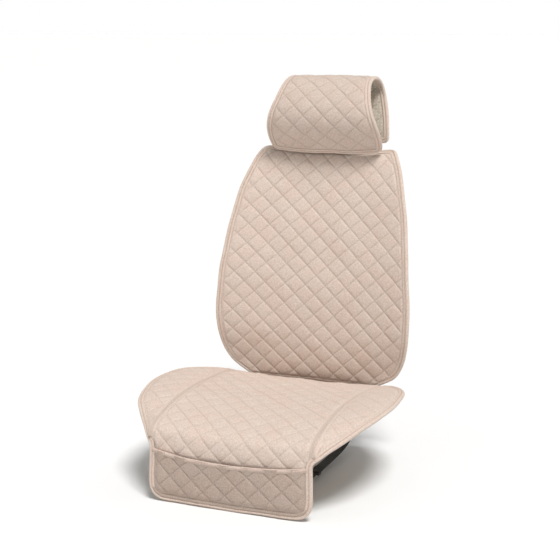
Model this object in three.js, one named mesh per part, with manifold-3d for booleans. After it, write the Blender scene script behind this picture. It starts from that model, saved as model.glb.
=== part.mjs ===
// Quilted linen cover set for one car seat: cushion cover with a pocketed front flap,
// backrest cover, headrest cover, and the straps that hold them.
// Millimetres. +X to the right as seen from the front, -Y to the front, +Z up.
// The origin is where the middle of the cushion cover's underside rests on the seat.
import * as THREE from 'three';
import { mergeVertices } from 'three/addons/utils/BufferGeometryUtils.js';
import Module from 'manifold-3d';

const wasm = await Module();
wasm.setup();

// ---------------------------------------------------------------- driving dimensions
const GAP = 0.3; // kept between pieces that touch
const FOAM_HALF = 3.0; // half the thickness of the foam layer
const CLOTH = 1.2; // thickness of the face cloth and of the backing
const BINDING_REACH = 13; // how far a binding tape laps over the edge
const BINDING_CLOTH = 1.0;
const BINDING_SLACK = 1.0; // between a binding and the layers inside it
const EDGE_INSET = 0.3; // the layers stop this far short of the outline
const REST_HEIGHT = 17; // the origin's depth below the zero height of the lines given here

// Each cover is a sheet between a middle line (y, z) and an edge line (x, y, z), station by
// station, starting at its lowest front edge.
const CUSHION_MIDDLE = [
  [-198, -207], [-201, -155], [-200, -110], [-199, -73], [-189, -47], [-150, -31], [-88, -18],
  [-15, -12], [60, -13], [140, -16], [215, -22], [270, -30], [304, -40],
];
const CUSHION_EDGE = [
  [198, -197, -205], [198, -197, -150], [198, -195, -105], [197, -194, -68], [195, -184, -42],
  [195, -146, -26], [195, -86, -12], [195, -15, -4], [195, 60, -4], [196, 140, -8],
  [200, 215, -15], [202, 270, -24], [200, 304, -36],
];
const CUSHION_DISH = 2.2; // how flat the middle of the sheet stays
const FLAP_CORNER = 34;
const WING_TIP_STATION = 3.15;
const WING_REAR_STATION = 11.9;
const WING_GAP = 3.9;
const WING_CROWN = 5;
const WING_OUTLINE = [
  [203, -191, -75], [224, -167, -57], [256, -132, -35], [282, -95, -15], [300, -35, -5],
  [308, 30, 0], [306, 100, 1], [294, 162, -2], [268, 220, -11], [236, 262, -20], [210, 294, -31],
];

const BACK_MIDDLE = [
  [334, -46], [328, -28], [323, -5], [320, 32], [320, 85], [326, 145], [336, 210], [349, 272],
  [364, 335], [381, 400], [399, 464], [413, 508], [426, 530], [442, 541],
];
const BACK_EDGE = [
  [158, 332, -44], [186, 324, -31], [222, 322, -8], [246, 312, 32], [258, 299, 85],
  [261, 297, 145], [257, 303, 210], [251, 314, 272], [243, 331, 335], [232, 352, 400],
  [217, 376, 464], [198, 403, 516], [185, 423, 540], [174, 442, 550],
];
const BACK_DISH = 2.6;

const HEAD_MIDDLE = [
  [418, 541], [390, 570], [367, 603], [360, 640], [371, 675], [397, 708], [435, 727], [478, 729],
  [511, 716], [524, 689], [512, 655], [494, 620], [481, 588], [476, 566],
];
const HEAD_EDGE = [
  [147, 420, 547], [151, 395, 576], [148, 374, 606], [139, 367, 640], [128, 377, 674],
  [119, 402, 707], [114, 437, 726], [112, 478, 728], [115, 508, 715], [121, 518, 688],
  [130, 505, 655], [140, 488, 620], [145, 476, 588], [146, 472, 566],
];
const HEAD_DISH = 2.0;

const POCKET_INSET = 15; // distance of its sides from the flap's edge
const POCKET_FLOOR = 16; // distance of its lower seam from the flap's lower edge
const POCKET_MOUTH = 116; // distance of its mouth from the flap's lower edge, at the sides
const POCKET_SAG = 8; // how much lower the mouth is in the middle
const POCKET_BELLY = 9; // how far the mouth stands off the flap in the middle
const POCKET_CLOTH = 1.6;
const POCKET_LIP = 8;

const TUCK_HALF_WIDTH = 150;
const TUCK_THICKNESS = 1.6;
const ROD_CENTRE = [356, -80]; // also the line about which the backrest cover reclines
const ROD_RADIUS = 7.5;
const ROD_HALF_LENGTH = 150;
const SLEEVE_HALF_LENGTH = 154;
const SLEEVE_INNER = 7.9;
const SLEEVE_OUTER = 9.3;

const WEB_WIDTH = 25;
const WEB_THICKNESS = 1.5;
const UNDER_STRAP_X = 105;
const UNDER_STRAP_Z = -190; // height of the straight run under the seat

const SEAM_TAPE_HALF = 9;
const SEAM_TAPE_CLOTH = 0.9;
const SEAM_TAPE_DROP = 3.2; // below the backing
const SEAM_TAPE_START = 68; // from the wing's front tip, past the fold

const HOOK_BAR_Y = 62; // the bars that the straps loop round, and the sliders, along Y
const RING_BAR_Y = 8;
const RING_FRONT_Y = -10;
const SLIDER_Y = -75;
const WIRE = 1.8; // radius of the ring's wire and of the hook's bar
const HOOK_WIDTH = 20;
const HOOK_THICKNESS = 3;
const EAR = 3; // thickness of the ears that hold a bar
const SLIDER_BAR = 2.4;
const SLIDER_REACH = 9; // from the slider's middle bar to its outer bars

const POST_STRAP_Y = 492;
const POST_STRAP_Z = 532;
const SOCKET_BAR_X = -44;
const SOCKET_FROM = -36;
const SOCKET_TO = -2;
const PLUG_FROM = 7;
const PLUG_BAR_X = 18;
const BUCKLE_BAR = 1.8;
const BUCKLE_WIDTH = 33;
const BUCKLE_HALF_THICK = 5.2;
const PRONG_OFFSET = 10; // of the plug's outer prongs from its middle prong

const CLOSURE_X = 42;
const CLOSURE_WIDTH = 34;
const CLOSURE_THICKNESS = 1.4;

const LINEN = 0xd3c1b0;
const LINEN_SHADE = 0xc6b2a0;
const TAPE = 0xcdb8a8;
const FOAM = 0xe8e2d6;
const BACKING = 0xcbbfae;
const WEBBING = 0x3a3836;
const PLASTIC = 0x1c1c1e;
const STEEL = 0xa8abad;

// ---------------------------------------------------------------- sheets
class Sheet {
  constructor(middle, edge, dish) {
    const middlePoints = middle.map(([y, z]) => new THREE.Vector3(0, y, z));
    const edgePoints = edge.map(([x, y, z]) => new THREE.Vector3(x, y, z));
    this.middle = new THREE.CatmullRomCurve3(middlePoints, false, 'catmullrom', 0.5);
    this.edge = new THREE.CatmullRomCurve3(edgePoints, false, 'catmullrom', 0.5);
    this.dish = dish;
    this.stations = middle.length - 1;
    this.length = this.middle.getLength();
  }

  // Distance along the middle line of a station, which may be fractional.
  distance(station) {
    const lengths = this.middle.getLengths();
    const place = (station / this.stations) * (lengths.length - 1);
    const below = Math.min(Math.floor(place), lengths.length - 2);
    return THREE.MathUtils.lerp(lengths[below], lengths[below + 1], place - below);
  }

  halfWidth(s) {
    const inside = THREE.MathUtils.clamp(s, 0, this.length);
    return this.edge.getPoint(this.middle.getUtoTmapping(inside / this.length)).x;
  }

  // The sheet's point at x across and s along. Past its ends the sheet goes on straight.
  point(x, s) {
    const inside = THREE.MathUtils.clamp(s, 0.01, this.length - 0.01);
    const t = this.middle.getUtoTmapping(inside / this.length);
    const middle = this.middle.getPoint(t);
    const edge = this.edge.getPoint(t);
    const share = Math.abs(x / edge.x) ** this.dish;
    const spot = new THREE.Vector3(x, 0, 0);
    spot.y = THREE.MathUtils.lerp(middle.y, edge.y, share);
    spot.z = THREE.MathUtils.lerp(middle.z, edge.z, share);
    const beyond = s - inside;
    if (Math.abs(beyond) > 0.02) {
      spot.addScaledVector(this.middle.getTangent(t), beyond);
    }
    return spot;
  }

  // The same, moved off the sheet by a height along its outward normal.
  at(x, s, height) {
    return raised((across, along) => this.point(across, along), x, s, 1.0, 1.0, height);
  }
}

class Wing {
  constructor(sheet, outline) {
    this.sheet = sheet;
    this.from = sheet.distance(WING_TIP_STATION);
    this.to = sheet.distance(WING_REAR_STATION);
    const points = outline.map(([x, y, z]) => new THREE.Vector3(x, y, z));
    this.outline = new THREE.CatmullRomCurve3(points, false, 'catmullrom', 0.5);
  }

  // a runs from the seam, 0, to the outer edge, 1. b runs from the front tip to the rear.
  point(a, b) {
    const s = THREE.MathUtils.lerp(this.from, this.to, b);
    const seam = this.sheet.point(this.sheet.halfWidth(s) + WING_GAP, s);
    const edge = this.outline.getPoint(THREE.MathUtils.clamp(b, 0, 1));
    const spot = seam.lerp(edge, a);
    spot.z += WING_CROWN * Math.sin(Math.PI * THREE.MathUtils.clamp(a, 0, 1)) * Math.sin(Math.PI * b);
    return spot;
  }

  width(b) {
    return this.point(0, b).distanceTo(this.point(1, b));
  }

  at(a, b, height) {
    return raised((across, along) => this.point(across, along), a, b, 0.01, 0.01, height);
  }
}

// A point of a surface, moved along the surface's normal.
function raised(surface, across, along, stepAcross, stepAlong, height) {
  const sideways = surface(across + stepAcross, along).sub(surface(across - stepAcross, along));
  const onwards = surface(across, along + stepAlong).sub(surface(across, along - stepAlong));
  const normal = sideways.cross(onwards).normalize();
  return surface(across, along).addScaledVector(normal, height);
}

// ---------------------------------------------------------------- building blocks
function signedVolume(geometry) {
  const corners = geometry.getAttribute('position');
  const index = geometry.getIndex();
  const triangle = [new THREE.Vector3(), new THREE.Vector3(), new THREE.Vector3()];
  let volume = 0;
  for (let i = 0; i < index.count; i += 3) {
    triangle.forEach((corner, k) => corner.fromBufferAttribute(corners, index.getX(i + k)));
    volume += triangle[0].dot(triangle[1].clone().cross(triangle[2])) / 6;
  }
  return volume;
}

// Moves every vertex of a closed geometry by place(), and turns its faces outwards.
function bend(geometry, place) {
  geometry.deleteAttribute('normal');
  geometry.deleteAttribute('uv');
  const bent = mergeVertices(geometry, 1e-3);
  const corners = bent.getAttribute('position');
  const corner = new THREE.Vector3();
  for (let i = 0; i < corners.count; i += 1) {
    corner.fromBufferAttribute(corners, i);
    const moved = place(corner);
    corners.setXYZ(i, moved.x, moved.y, moved.z);
  }
  if (signedVolume(bent) < 0) {
    const index = bent.getIndex();
    for (let i = 0; i < index.count; i += 3) {
      const second = index.getX(i + 1);
      index.setX(i + 1, index.getX(i + 2));
      index.setX(i + 2, second);
    }
  }
  bent.clearGroups();
  bent.computeVertexNormals();
  return bent;
}

const mirrored = (geometry) => bend(geometry.clone(), ({ x, y, z }) => new THREE.Vector3(-x, y, z));

// A thin solid with a grid of columns and rows on both faces. place(i, j, side) gives each grid
// point, and side is 0 on its lower face and 1 on its upper face. Both faces are split into
// triangles alike, so solids laid on one another stay a constant distance apart.
function gridSolid(columns, rows, place) {
  const plane = new THREE.PlaneGeometry(columns, rows, columns, rows);
  const spots = plane.getAttribute('position');
  const face = plane.getIndex().array;
  const corners = [];
  for (const side of [1, 0]) {
    for (let k = 0; k < spots.count; k += 1) {
      const i = Math.round(spots.getX(k) + columns / 2);
      const j = Math.round(spots.getY(k) + rows / 2);
      corners.push(...place(i, j, side).toArray());
    }
  }
  const index = [...face];
  for (let k = 0; k < face.length; k += 3) {
    index.push(face[k] + spots.count, face[k + 2] + spots.count, face[k + 1] + spots.count);
  }
  const rim = rimOfGrid(columns, rows);
  rim.forEach((here, k) => {
    const next = rim[(k + 1) % rim.length];
    index.push(next, here, here + spots.count, next, here + spots.count, next + spots.count);
  });
  const solid = new THREE.BufferGeometry();
  solid.setAttribute('position', new THREE.Float32BufferAttribute(corners, 3));
  solid.setIndex(index);
  return bend(solid, (corner) => corner);
}

// The numbers of a grid's outer vertices, in order round it.
function rimOfGrid(columns, rows) {
  const rim = [];
  const number = (i, j) => i + j * (columns + 1);
  for (let j = 0; j < rows; j += 1) rim.push(number(0, j));
  for (let i = 0; i < columns; i += 1) rim.push(number(i, rows));
  for (let j = rows; j > 0; j -= 1) rim.push(number(columns, j));
  for (let i = columns; i > 0; i -= 1) rim.push(number(i, 0));
  return rim;
}

// A section in (inward, height) swept through steps places. place(inward, height, k).
function sweptSection(points, steps, place) {
  const shape = new THREE.Shape(points.map(([inward, height]) => new THREE.Vector2(inward, height)));
  const bar = new THREE.ExtrudeGeometry(shape, { depth: steps, steps, bevelEnabled: false });
  return bend(bar, ({ x, y, z }) => place(x, y, Math.round(z)));
}

// The channel section of a binding folded round an edge that is half thick each way.
function bindingSection(half, reach) {
  const inner = half + BINDING_SLACK;
  const outer = inner + BINDING_CLOTH;
  const fold = BINDING_SLACK;
  const lip = BINDING_SLACK + BINDING_CLOTH;
  return [
    [reach, inner], [-fold, inner], [-fold, -inner], [reach, -inner],
    [reach, -outer], [-lip, -outer], [-lip, outer], [reach, outer],
  ];
}

const LAYERS = {
  foam: [-FOAM_HALF, FOAM_HALF],
  face: [FOAM_HALF + GAP, FOAM_HALF + GAP + CLOTH],
  backing: [-FOAM_HALF - GAP - CLOTH, -FOAM_HALF - GAP],
};
const HALF_THICK = FOAM_HALF + GAP + CLOTH;
const BINDING_SECTION = bindingSection(HALF_THICK, BINDING_REACH);

// Evenly spaced numbers, both ends included.
function spread(from, to, count) {
  return Array.from({ length: count + 1 }, (unused, k) => THREE.MathUtils.lerp(from, to, k / count));
}

const group = new THREE.Group();
group.position.z = REST_HEIGHT;

function add(name, geometry, color, roughness = 0.95, metalness = 0) {
  const mesh = new THREE.Mesh(geometry, new THREE.MeshStandardMaterial({ color, roughness, metalness }));
  mesh.name = name;
  group.add(mesh);
  return mesh;
}

const LAYER_COLORS = { face: LINEN, foam: FOAM, backing: BACKING };

// The three layers of a quilted panel. finish() may turn a layer over to the other side.
function addLayers(name, columns, rows, place, finish = (geometry) => geometry) {
  for (const [layer, [low, high]] of Object.entries(LAYERS)) {
    const solid = gridSolid(columns, rows, (i, j, side) => place(i, j, side ? high : low));
    add(`${name}_${layer}`, finish(solid), LAYER_COLORS[layer]);
  }
}

// Columns across a sheet at s, with one line where the bindings end.
function boundColumns(half, count) {
  const inner = half - BINDING_REACH;
  const outer = half - EDGE_INSET;
  return [-outer, ...spread(-inner, inner, count - 2), outer];
}

// ---------------------------------------------------------------- cushion cover
const cushion = new Sheet(CUSHION_MIDDLE, CUSHION_EDGE, CUSHION_DISH);
const wing = new Wing(cushion, WING_OUTLINE);

// Half the width of the flap, or of an outline inset in it, with rounded lower corners.
function flapHalfWidth(s, inset = 0) {
  const rise = Math.max(FLAP_CORNER - s, 0);
  const corner = Math.sqrt((FLAP_CORNER - inset) ** 2 - rise ** 2);
  return cushion.halfWidth(s) - FLAP_CORNER + corner;
}

const cornerRows = spread(0.08, Math.PI / 2, 4).map((turn) => FLAP_CORNER * (1 - Math.cos(turn)));
const upperRows = spread(0.9, cushion.stations, 17).map((station) => cushion.distance(station));
const cushionRows = [...cornerRows, ...upperRows.slice(0, -1), cushion.length - EDGE_INSET];

const CUSHION_COLUMNS = 6;
addLayers('cushion', CUSHION_COLUMNS, cushionRows.length - 1, (i, j, height) => {
  const s = cushionRows[j];
  return cushion.at(boundColumns(flapHalfWidth(s), CUSHION_COLUMNS)[i], s, height);
});

const WING_COLUMNS = 4;
const WING_ROWS = 12;
const wingAlong = spread(0.02, 0.988, WING_ROWS);

// Share of the wing's width that lies under its binding.
const wingBound = (b) => Math.min(BINDING_REACH, 0.6 * wing.width(b)) / wing.width(b);

function wingAcross(b) {
  const inner = 1 - wingBound(b);
  return [...spread(0, inner, WING_COLUMNS - 1), 1 - EDGE_INSET / wing.width(b)];
}

for (const side of ['left', 'right']) {
  const turn = side === 'right' ? (geometry) => geometry : mirrored;
  addLayers(`wing_${side}`, WING_COLUMNS, WING_ROWS, (i, j, height) => {
    const b = wingAlong[j];
    return wing.at(wingAcross(b)[i], b, height);
  }, turn);
  const tape = sweptSection(BINDING_SECTION, WING_ROWS, (inward, height, k) => {
    const b = wingAlong[k];
    const share = inward > 0 ? (inward / BINDING_REACH) * wingBound(b) : inward / wing.width(b);
    return wing.at(1 - share, b, height);
  });
  add(`wing_${side}_binding`, turn(tape), TAPE);
}

// The binding of the flap runs down one side, along the lower edge and up the other.
const FLAP_SIDE_TOP = cushion.distance(WING_TIP_STATION) - 6;
const flapOutline = new THREE.Path();
const flapHalf = cushion.halfWidth(FLAP_CORNER);
const flapSide = spread(FLAP_CORNER, FLAP_SIDE_TOP, 5);
flapOutline.moveTo(flapHalf, FLAP_SIDE_TOP);
flapSide.toReversed().slice(1).forEach((s) => flapOutline.lineTo(flapHalf, s));
flapOutline.absarc(flapHalf - FLAP_CORNER, FLAP_CORNER, FLAP_CORNER, 0, -Math.PI / 2, true);
const flapFoot = spread(flapHalf - FLAP_CORNER, FLAP_CORNER - flapHalf, 8);
flapFoot.slice(1).forEach((x) => flapOutline.lineTo(x, 0));
flapOutline.absarc(FLAP_CORNER - flapHalf, FLAP_CORNER, FLAP_CORNER, -Math.PI / 2, -Math.PI, true);
flapSide.slice(1).forEach((s) => flapOutline.lineTo(-flapHalf, s));
const flapSpots = flapOutline.getPoints(3);
const FLAP_STEPS = flapSpots.length - 1;
const flapInward = flapSpots.map((spot, k) => {
  const ahead = flapSpots[Math.min(k + 1, FLAP_STEPS)].clone();
  const direction = ahead.sub(flapSpots[Math.max(k - 1, 0)]).normalize();
  return new THREE.Vector2(direction.y, -direction.x);
});
const flapSection = bindingSection(HALF_THICK + 1, BINDING_REACH); // roomier, for the roll above it
add('flap_binding', sweptSection(flapSection, FLAP_STEPS, (inward, height, k) => {
  const spot = flapSpots[k].clone().addScaledVector(flapInward[k], inward);
  return cushion.at(spot.x, spot.y, height);
}), TAPE);

// A tape sewn under each seam between the middle panel and a wing.
const SEAM_TAPE_TOP = -HALF_THICK - SEAM_TAPE_DROP;
const SEAM_TAPE_BOTTOM = SEAM_TAPE_TOP - SEAM_TAPE_CLOTH;
const SEAM_STEPS = 18;
const seamAlong = spread(wing.from + SEAM_TAPE_START, wing.to - 12, SEAM_STEPS);
for (const side of ['left', 'right']) {
  const section = [
    [-SEAM_TAPE_HALF, SEAM_TAPE_BOTTOM], [SEAM_TAPE_HALF, SEAM_TAPE_BOTTOM],
    [SEAM_TAPE_HALF, SEAM_TAPE_TOP], [-SEAM_TAPE_HALF, SEAM_TAPE_TOP],
  ];
  const tape = sweptSection(section, SEAM_STEPS, (across, height, k) => {
    const s = seamAlong[k];
    const seam = cushion.at(cushion.halfWidth(s) + WING_GAP / 2, s, height);
    return seam.add(new THREE.Vector3(across, 0, 0));
  });
  add(`seam_tape_${side}`, side === 'right' ? tape : mirrored(tape), TAPE);
}

// ---------------------------------------------------------------- pocket on the flap
// Height of the pocket above the flap's face, and its mouth, which sags and stands open.
// across runs from -1 to 1 over the pocket's width.
const pocketMouth = (across) => POCKET_MOUTH - POCKET_SAG * (1 - across ** 2);

function pocketRise(across, share) {
  return HALF_THICK + 1.8 + POCKET_BELLY * (1 - across ** 2) * share ** 1.3;
}

const POCKET_COLUMNS = 6;
const POCKET_ROWS = 4;
const pocketLayers = { lining: [0, 0.8], face: [0.8 + GAP, 0.8 + GAP + POCKET_CLOTH] };
const POCKET_TOP = pocketLayers.face[1];

// share runs from the pocket's lower seam, 0, to its mouth, 1.
function pocketPoint(across, share, height) {
  const s = THREE.MathUtils.lerp(POCKET_FLOOR, pocketMouth(across), share);
  return cushion.at(across * flapHalfWidth(s, POCKET_INSET), s, pocketRise(across, share) + height);
}

for (const [layer, [low, high]] of Object.entries(pocketLayers)) {
  const solid = gridSolid(POCKET_COLUMNS, POCKET_ROWS, (i, j, side) => {
    const across = THREE.MathUtils.lerp(-1, 1, i / POCKET_COLUMNS);
    return pocketPoint(across, j / POCKET_ROWS, side ? high : low);
  });
  add(`pocket_${layer}`, solid, LINEN_SHADE);
}

// The tape round the pocket's mouth.
const LIP_SLACK = 0.6;
const LIP_CLOTH = 0.8;
const lipInner = POCKET_TOP + LIP_SLACK;
const lipOuter = lipInner + LIP_CLOTH;
const lipFold = LIP_SLACK + LIP_CLOTH;
const lipSection = [
  [POCKET_LIP, lipInner], [-LIP_SLACK, lipInner], [-LIP_SLACK, -LIP_SLACK], [POCKET_LIP, -LIP_SLACK],
  [POCKET_LIP, -lipFold], [-lipFold, -lipFold], [-lipFold, lipOuter], [POCKET_LIP, lipOuter],
];
add('pocket_mouth_binding', sweptSection(lipSection, POCKET_COLUMNS, (inward, height, k) => {
  const across = THREE.MathUtils.lerp(-1, 1, k / POCKET_COLUMNS);
  const depth = pocketMouth(across) - POCKET_FLOOR;
  return pocketPoint(across, 1 - inward / depth, height);
}), TAPE);

// ---------------------------------------------------------------- backrest cover
const back = new Sheet(BACK_MIDDLE, BACK_EDGE, BACK_DISH);
const BACK_COLUMNS = 6;
const BACK_ROWS = 16;

// Places along a sheet, with one line where the binding of an end stops.
function boundRows(sheet, count, boundStart, boundEnd) {
  const first = boundStart ? [EDGE_INSET, BINDING_REACH] : [EDGE_INSET];
  const end = sheet.length - EDGE_INSET;
  const last = boundEnd ? [sheet.length - BINDING_REACH, end] : [end];
  const inner = count - first.length - last.length + 1;
  const stations = spread(0, sheet.stations, inner + 1).slice(1, -1);
  return [...first, ...stations.map((station) => sheet.distance(station)), ...last].sort((a, b) => a - b);
}

// The tape along one long side of a sheet, +1 or -1.
function sideBinding(sheet, rows, side) {
  return sweptSection(BINDING_SECTION, rows.length - 1, (inward, height, k) => {
    const s = rows[k];
    return sheet.at(side * (sheet.halfWidth(s) - inward), s, height);
  });
}

// The tape along one end of a sheet, between the side tapes. towards is +1 at the far end.
function endBinding(sheet, columns, towards) {
  const place = towards > 0 ? sheet.length : 0;
  return sweptSection(BINDING_SECTION, columns - 2, (inward, height, k) => {
    const s = place - towards * inward;
    const half = sheet.halfWidth(s) - BINDING_REACH - 1.0;
    return sheet.at(THREE.MathUtils.lerp(-half, half, k / (columns - 2)), s, height);
  });
}

const backRows = boundRows(back, BACK_ROWS, false, true);
addLayers('backrest', BACK_COLUMNS, backRows.length - 1, (i, j, height) => {
  const s = backRows[j];
  return back.at(boundColumns(back.halfWidth(s), BACK_COLUMNS)[i], s, height);
});
add('backrest_binding_left', sideBinding(back, backRows, -1), TAPE);
add('backrest_binding_right', sideBinding(back, backRows, 1), TAPE);
add('backrest_binding_top', endBinding(back, BACK_COLUMNS, 1), TAPE);

// ---------------------------------------------------------------- headrest cover
const head = new Sheet(HEAD_MIDDLE, HEAD_EDGE, HEAD_DISH);
const HEAD_COLUMNS = 6;
const HEAD_ROWS = 20;
const headRows = boundRows(head, HEAD_ROWS, true, true);
addLayers('headrest', HEAD_COLUMNS, headRows.length - 1, (i, j, height) => {
  const s = headRows[j];
  return head.at(boundColumns(head.halfWidth(s), HEAD_COLUMNS)[i], s, height);
});
add('headrest_binding_left', sideBinding(head, headRows, -1), TAPE);
add('headrest_binding_right', sideBinding(head, headRows, 1), TAPE);
add('headrest_hem_front', endBinding(head, HEAD_COLUMNS, -1), TAPE);
add('headrest_hem_rear', endBinding(head, HEAD_COLUMNS, 1), TAPE);

// ---------------------------------------------------------------- straps and their fittings
// A strap seen edge on: a line in a plane, thickened both ways and drawn out to its width.
function ribbonShape(line, thickness) {
  const curve = new THREE.SplineCurve(line.map(([across, up]) => new THREE.Vector2(across, up)));
  const steps = (line.length - 1) * 2;
  const upper = [];
  const lower = [];
  for (let k = 0; k <= steps; k += 1) {
    const spot = curve.getPoint(k / steps);
    const along = curve.getTangent(k / steps);
    const sideways = new THREE.Vector2(-along.y, along.x).multiplyScalar(thickness / 2);
    upper.push(spot.clone().add(sideways));
    lower.unshift(spot.clone().sub(sideways));
  }
  return new THREE.Shape([...upper, ...lower]);
}

// Draws a shape in the plane of Y and Z out along X, centred on x.
function drawnAlongX(shape, width, x) {
  const bar = new THREE.ExtrudeGeometry(shape, { depth: width, bevelEnabled: false, curveSegments: 6 });
  return bend(bar, (corner) => new THREE.Vector3(x + corner.z - width / 2, corner.x, corner.y));
}

// Draws a shape in the plane of X and Y out along Z, centred on z.
function drawnAlongZ(shape, width, z) {
  const bar = new THREE.ExtrudeGeometry(shape, { depth: width, bevelEnabled: false, curveSegments: 6 });
  return bend(bar, (corner) => new THREE.Vector3(corner.x, corner.y, z + corner.z - width / 2));
}

function toSolid(geometry) {
  const positions = geometry.getAttribute('position');
  const mesh = new wasm.Mesh({
    numProp: 3,
    vertProperties: Float32Array.from(positions.array),
    triVerts: Uint32Array.from(geometry.getIndex().array),
  });
  return new wasm.Manifold(mesh);
}

function toGeometry(solid) {
  const mesh = solid.getMesh();
  const geometry = new THREE.BufferGeometry();
  geometry.setAttribute('position', new THREE.Float32BufferAttribute(mesh.vertProperties, 3));
  geometry.setIndex(Array.from(mesh.triVerts));
  geometry.computeVertexNormals();
  return geometry;
}

function block(sizeX, sizeY, sizeZ, x, y, z) {
  return bend(new THREE.BoxGeometry(sizeX, sizeY, sizeZ), (corner) => corner.clone().add({ x, y, z }));
}

function bar(radius, length, x, y, z, sides = 8) {
  const cylinder = new THREE.CylinderGeometry(radius, radius, length, sides);
  return bend(cylinder, (corner) => new THREE.Vector3(x + corner.y, y + corner.x, z - corner.z));
}

const joined = (...pieces) => toGeometry(pieces.map(toSolid).reduce((whole, next) => whole.add(next)));
const cut = (whole, ...holes) => toGeometry(
  holes.map(toSolid).reduce((left, hole) => left.subtract(hole), toSolid(whole)),
);

// ---------------------------------------------------------------- tuck between seat and backrest
const [ROD_Y, ROD_Z] = ROD_CENTRE;
const tuckFront = [[305.5, -41], [322, -53], [338, -66], [346.5, -73.5]];
const tuckRear = [[334.5, -47.5], [342, -57], [350.5, -69.5]];
for (const [name, line] of [['front', tuckFront], ['rear', tuckRear]]) {
  const strip = drawnAlongX(ribbonShape(line, TUCK_THICKNESS), 2 * TUCK_HALF_WIDTH, 0);
  add(`tuck_strip_${name}`, strip, LINEN_SHADE);
}
add('tuck_rod', bar(ROD_RADIUS, 2 * ROD_HALF_LENGTH, 0, ROD_Y, ROD_Z, 14), FOAM, 0.6);
const sleeveProfile = [
  [SLEEVE_INNER, -SLEEVE_HALF_LENGTH], [SLEEVE_OUTER, -SLEEVE_HALF_LENGTH],
  [SLEEVE_OUTER, SLEEVE_HALF_LENGTH], [SLEEVE_INNER, SLEEVE_HALF_LENGTH],
  [SLEEVE_INNER, -SLEEVE_HALF_LENGTH],
].map(([radius, along]) => new THREE.Vector2(radius, along));
add('tuck_sleeve', bend(new THREE.LatheGeometry(sleeveProfile, 16), (corner) => (
  new THREE.Vector3(corner.y, ROD_Y + corner.x, ROD_Z - corner.z)
)), LINEN_SHADE);

// ---------------------------------------------------------------- straps under the seat
const LOOP_INNER = SLEEVE_OUTER + 0.4;
const BAR_LOOP = WIRE + 0.4; // inner radius of a loop round a bar

// The loop of a strap round a bar at [across, up].
function loopShape([across, up], inner) {
  const loop = new THREE.Shape();
  loop.absarc(across, up, inner + WEB_THICKNESS, 0, Math.PI * 2, false);
  const hole = new THREE.Path();
  hole.absarc(across, up, inner, 0, Math.PI * 2, true);
  loop.holes.push(hole);
  return loop;
}

function addUnderStraps(name, x) {
  const rearLine = [
    [ROD_Y - LOOP_INNER - WEB_THICKNESS / 2, ROD_Z], [342, -110], [330, -148], [300, -174],
    [240, -186], [160, -189.5], [110, UNDER_STRAP_Z],
    [HOOK_BAR_Y + BAR_LOOP + 1.2, UNDER_STRAP_Z],
  ];
  add(`under_strap_rear_${name}`, joined(
    drawnAlongX(loopShape(ROD_CENTRE, LOOP_INNER), WEB_WIDTH, x),
    drawnAlongX(ribbonShape(rearLine, WEB_THICKNESS), WEB_WIDTH, x),
    drawnAlongX(loopShape([HOOK_BAR_Y, UNDER_STRAP_Z], BAR_LOOP), WEB_WIDTH, x),
  ), WEBBING);

  const frontLine = [
    [RING_FRONT_Y - 3.8, UNDER_STRAP_Z], [-60, UNDER_STRAP_Z], [-120, UNDER_STRAP_Z],
    [-160, -189.2], [-180, -181], [-187.5, -166],
  ];
  add(`under_strap_front_${name}`, joined(
    drawnAlongX(loopShape([RING_FRONT_Y, UNDER_STRAP_Z], 1.65 * WIRE), WEB_WIDTH, x),
    drawnAlongX(ribbonShape(frontLine, WEB_THICKNESS), WEB_WIDTH, x),
  ), WEBBING);

  const ringDepth = RING_BAR_Y - RING_FRONT_Y;
  const ringMiddle = (RING_BAR_Y + RING_FRONT_Y) / 2;
  add(`ring_${name}`, cut(
    block(WEB_WIDTH + 12, ringDepth + 2 * WIRE, 2 * WIRE, x, ringMiddle, UNDER_STRAP_Z),
    block(WEB_WIDTH + 4, ringDepth - 2 * WIRE, 9, x, ringMiddle, UNDER_STRAP_Z),
  ), STEEL, 0.35, 0.9);

  const hookLine = [
    [HOOK_BAR_Y - 8, UNDER_STRAP_Z], [40, UNDER_STRAP_Z - 1], [24, UNDER_STRAP_Z - 5],
    [9, UNDER_STRAP_Z - 6.5], [1.5, UNDER_STRAP_Z - 3.5], [0.2, UNDER_STRAP_Z + 2.5],
  ];
  const hookEars = [-1, 1].map((side) => {
    const earX = x + side * (WEB_WIDTH / 2 + 2.5);
    return block(EAR, 18, 2 * WIRE + 0.8, earX, HOOK_BAR_Y - 6, UNDER_STRAP_Z);
  });
  add(`hook_${name}`, joined(
    drawnAlongX(ribbonShape(hookLine, HOOK_THICKNESS), HOOK_WIDTH, x),
    bar(WIRE, WEB_WIDTH + 6, x, HOOK_BAR_Y, UNDER_STRAP_Z),
    ...hookEars,
    block(WEB_WIDTH + 5, 5, 2 * WIRE, x, HOOK_BAR_Y - 11.5, UNDER_STRAP_Z),
  ), PLASTIC, 0.5);

  // The slider's outer bars pass over the strap and its middle bar passes under it.
  const clear = WEB_THICKNESS / 2 + GAP + SLIDER_BAR / 2;
  const railHeight = 2 * clear + 3.2;
  const rail = WEB_WIDTH / 2 + 2.4;
  const outerBars = [-SLIDER_REACH, SLIDER_REACH].map((offset) => (
    block(2 * rail, 3.4, SLIDER_BAR, x, SLIDER_Y + offset, UNDER_STRAP_Z + clear)
  ));
  const rails = [-rail, rail].map((offset) => (
    block(EAR, 2 * SLIDER_REACH + 5, railHeight, x + offset, SLIDER_Y, UNDER_STRAP_Z)
  ));
  add(`slider_${name}`, joined(
    ...outerBars,
    block(2 * rail, 4.4, SLIDER_BAR, x, SLIDER_Y, UNDER_STRAP_Z - clear),
    ...rails,
  ), PLASTIC, 0.5);
}

addUnderStraps('left', -UNDER_STRAP_X);
addUnderStraps('right', UNDER_STRAP_X);

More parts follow.
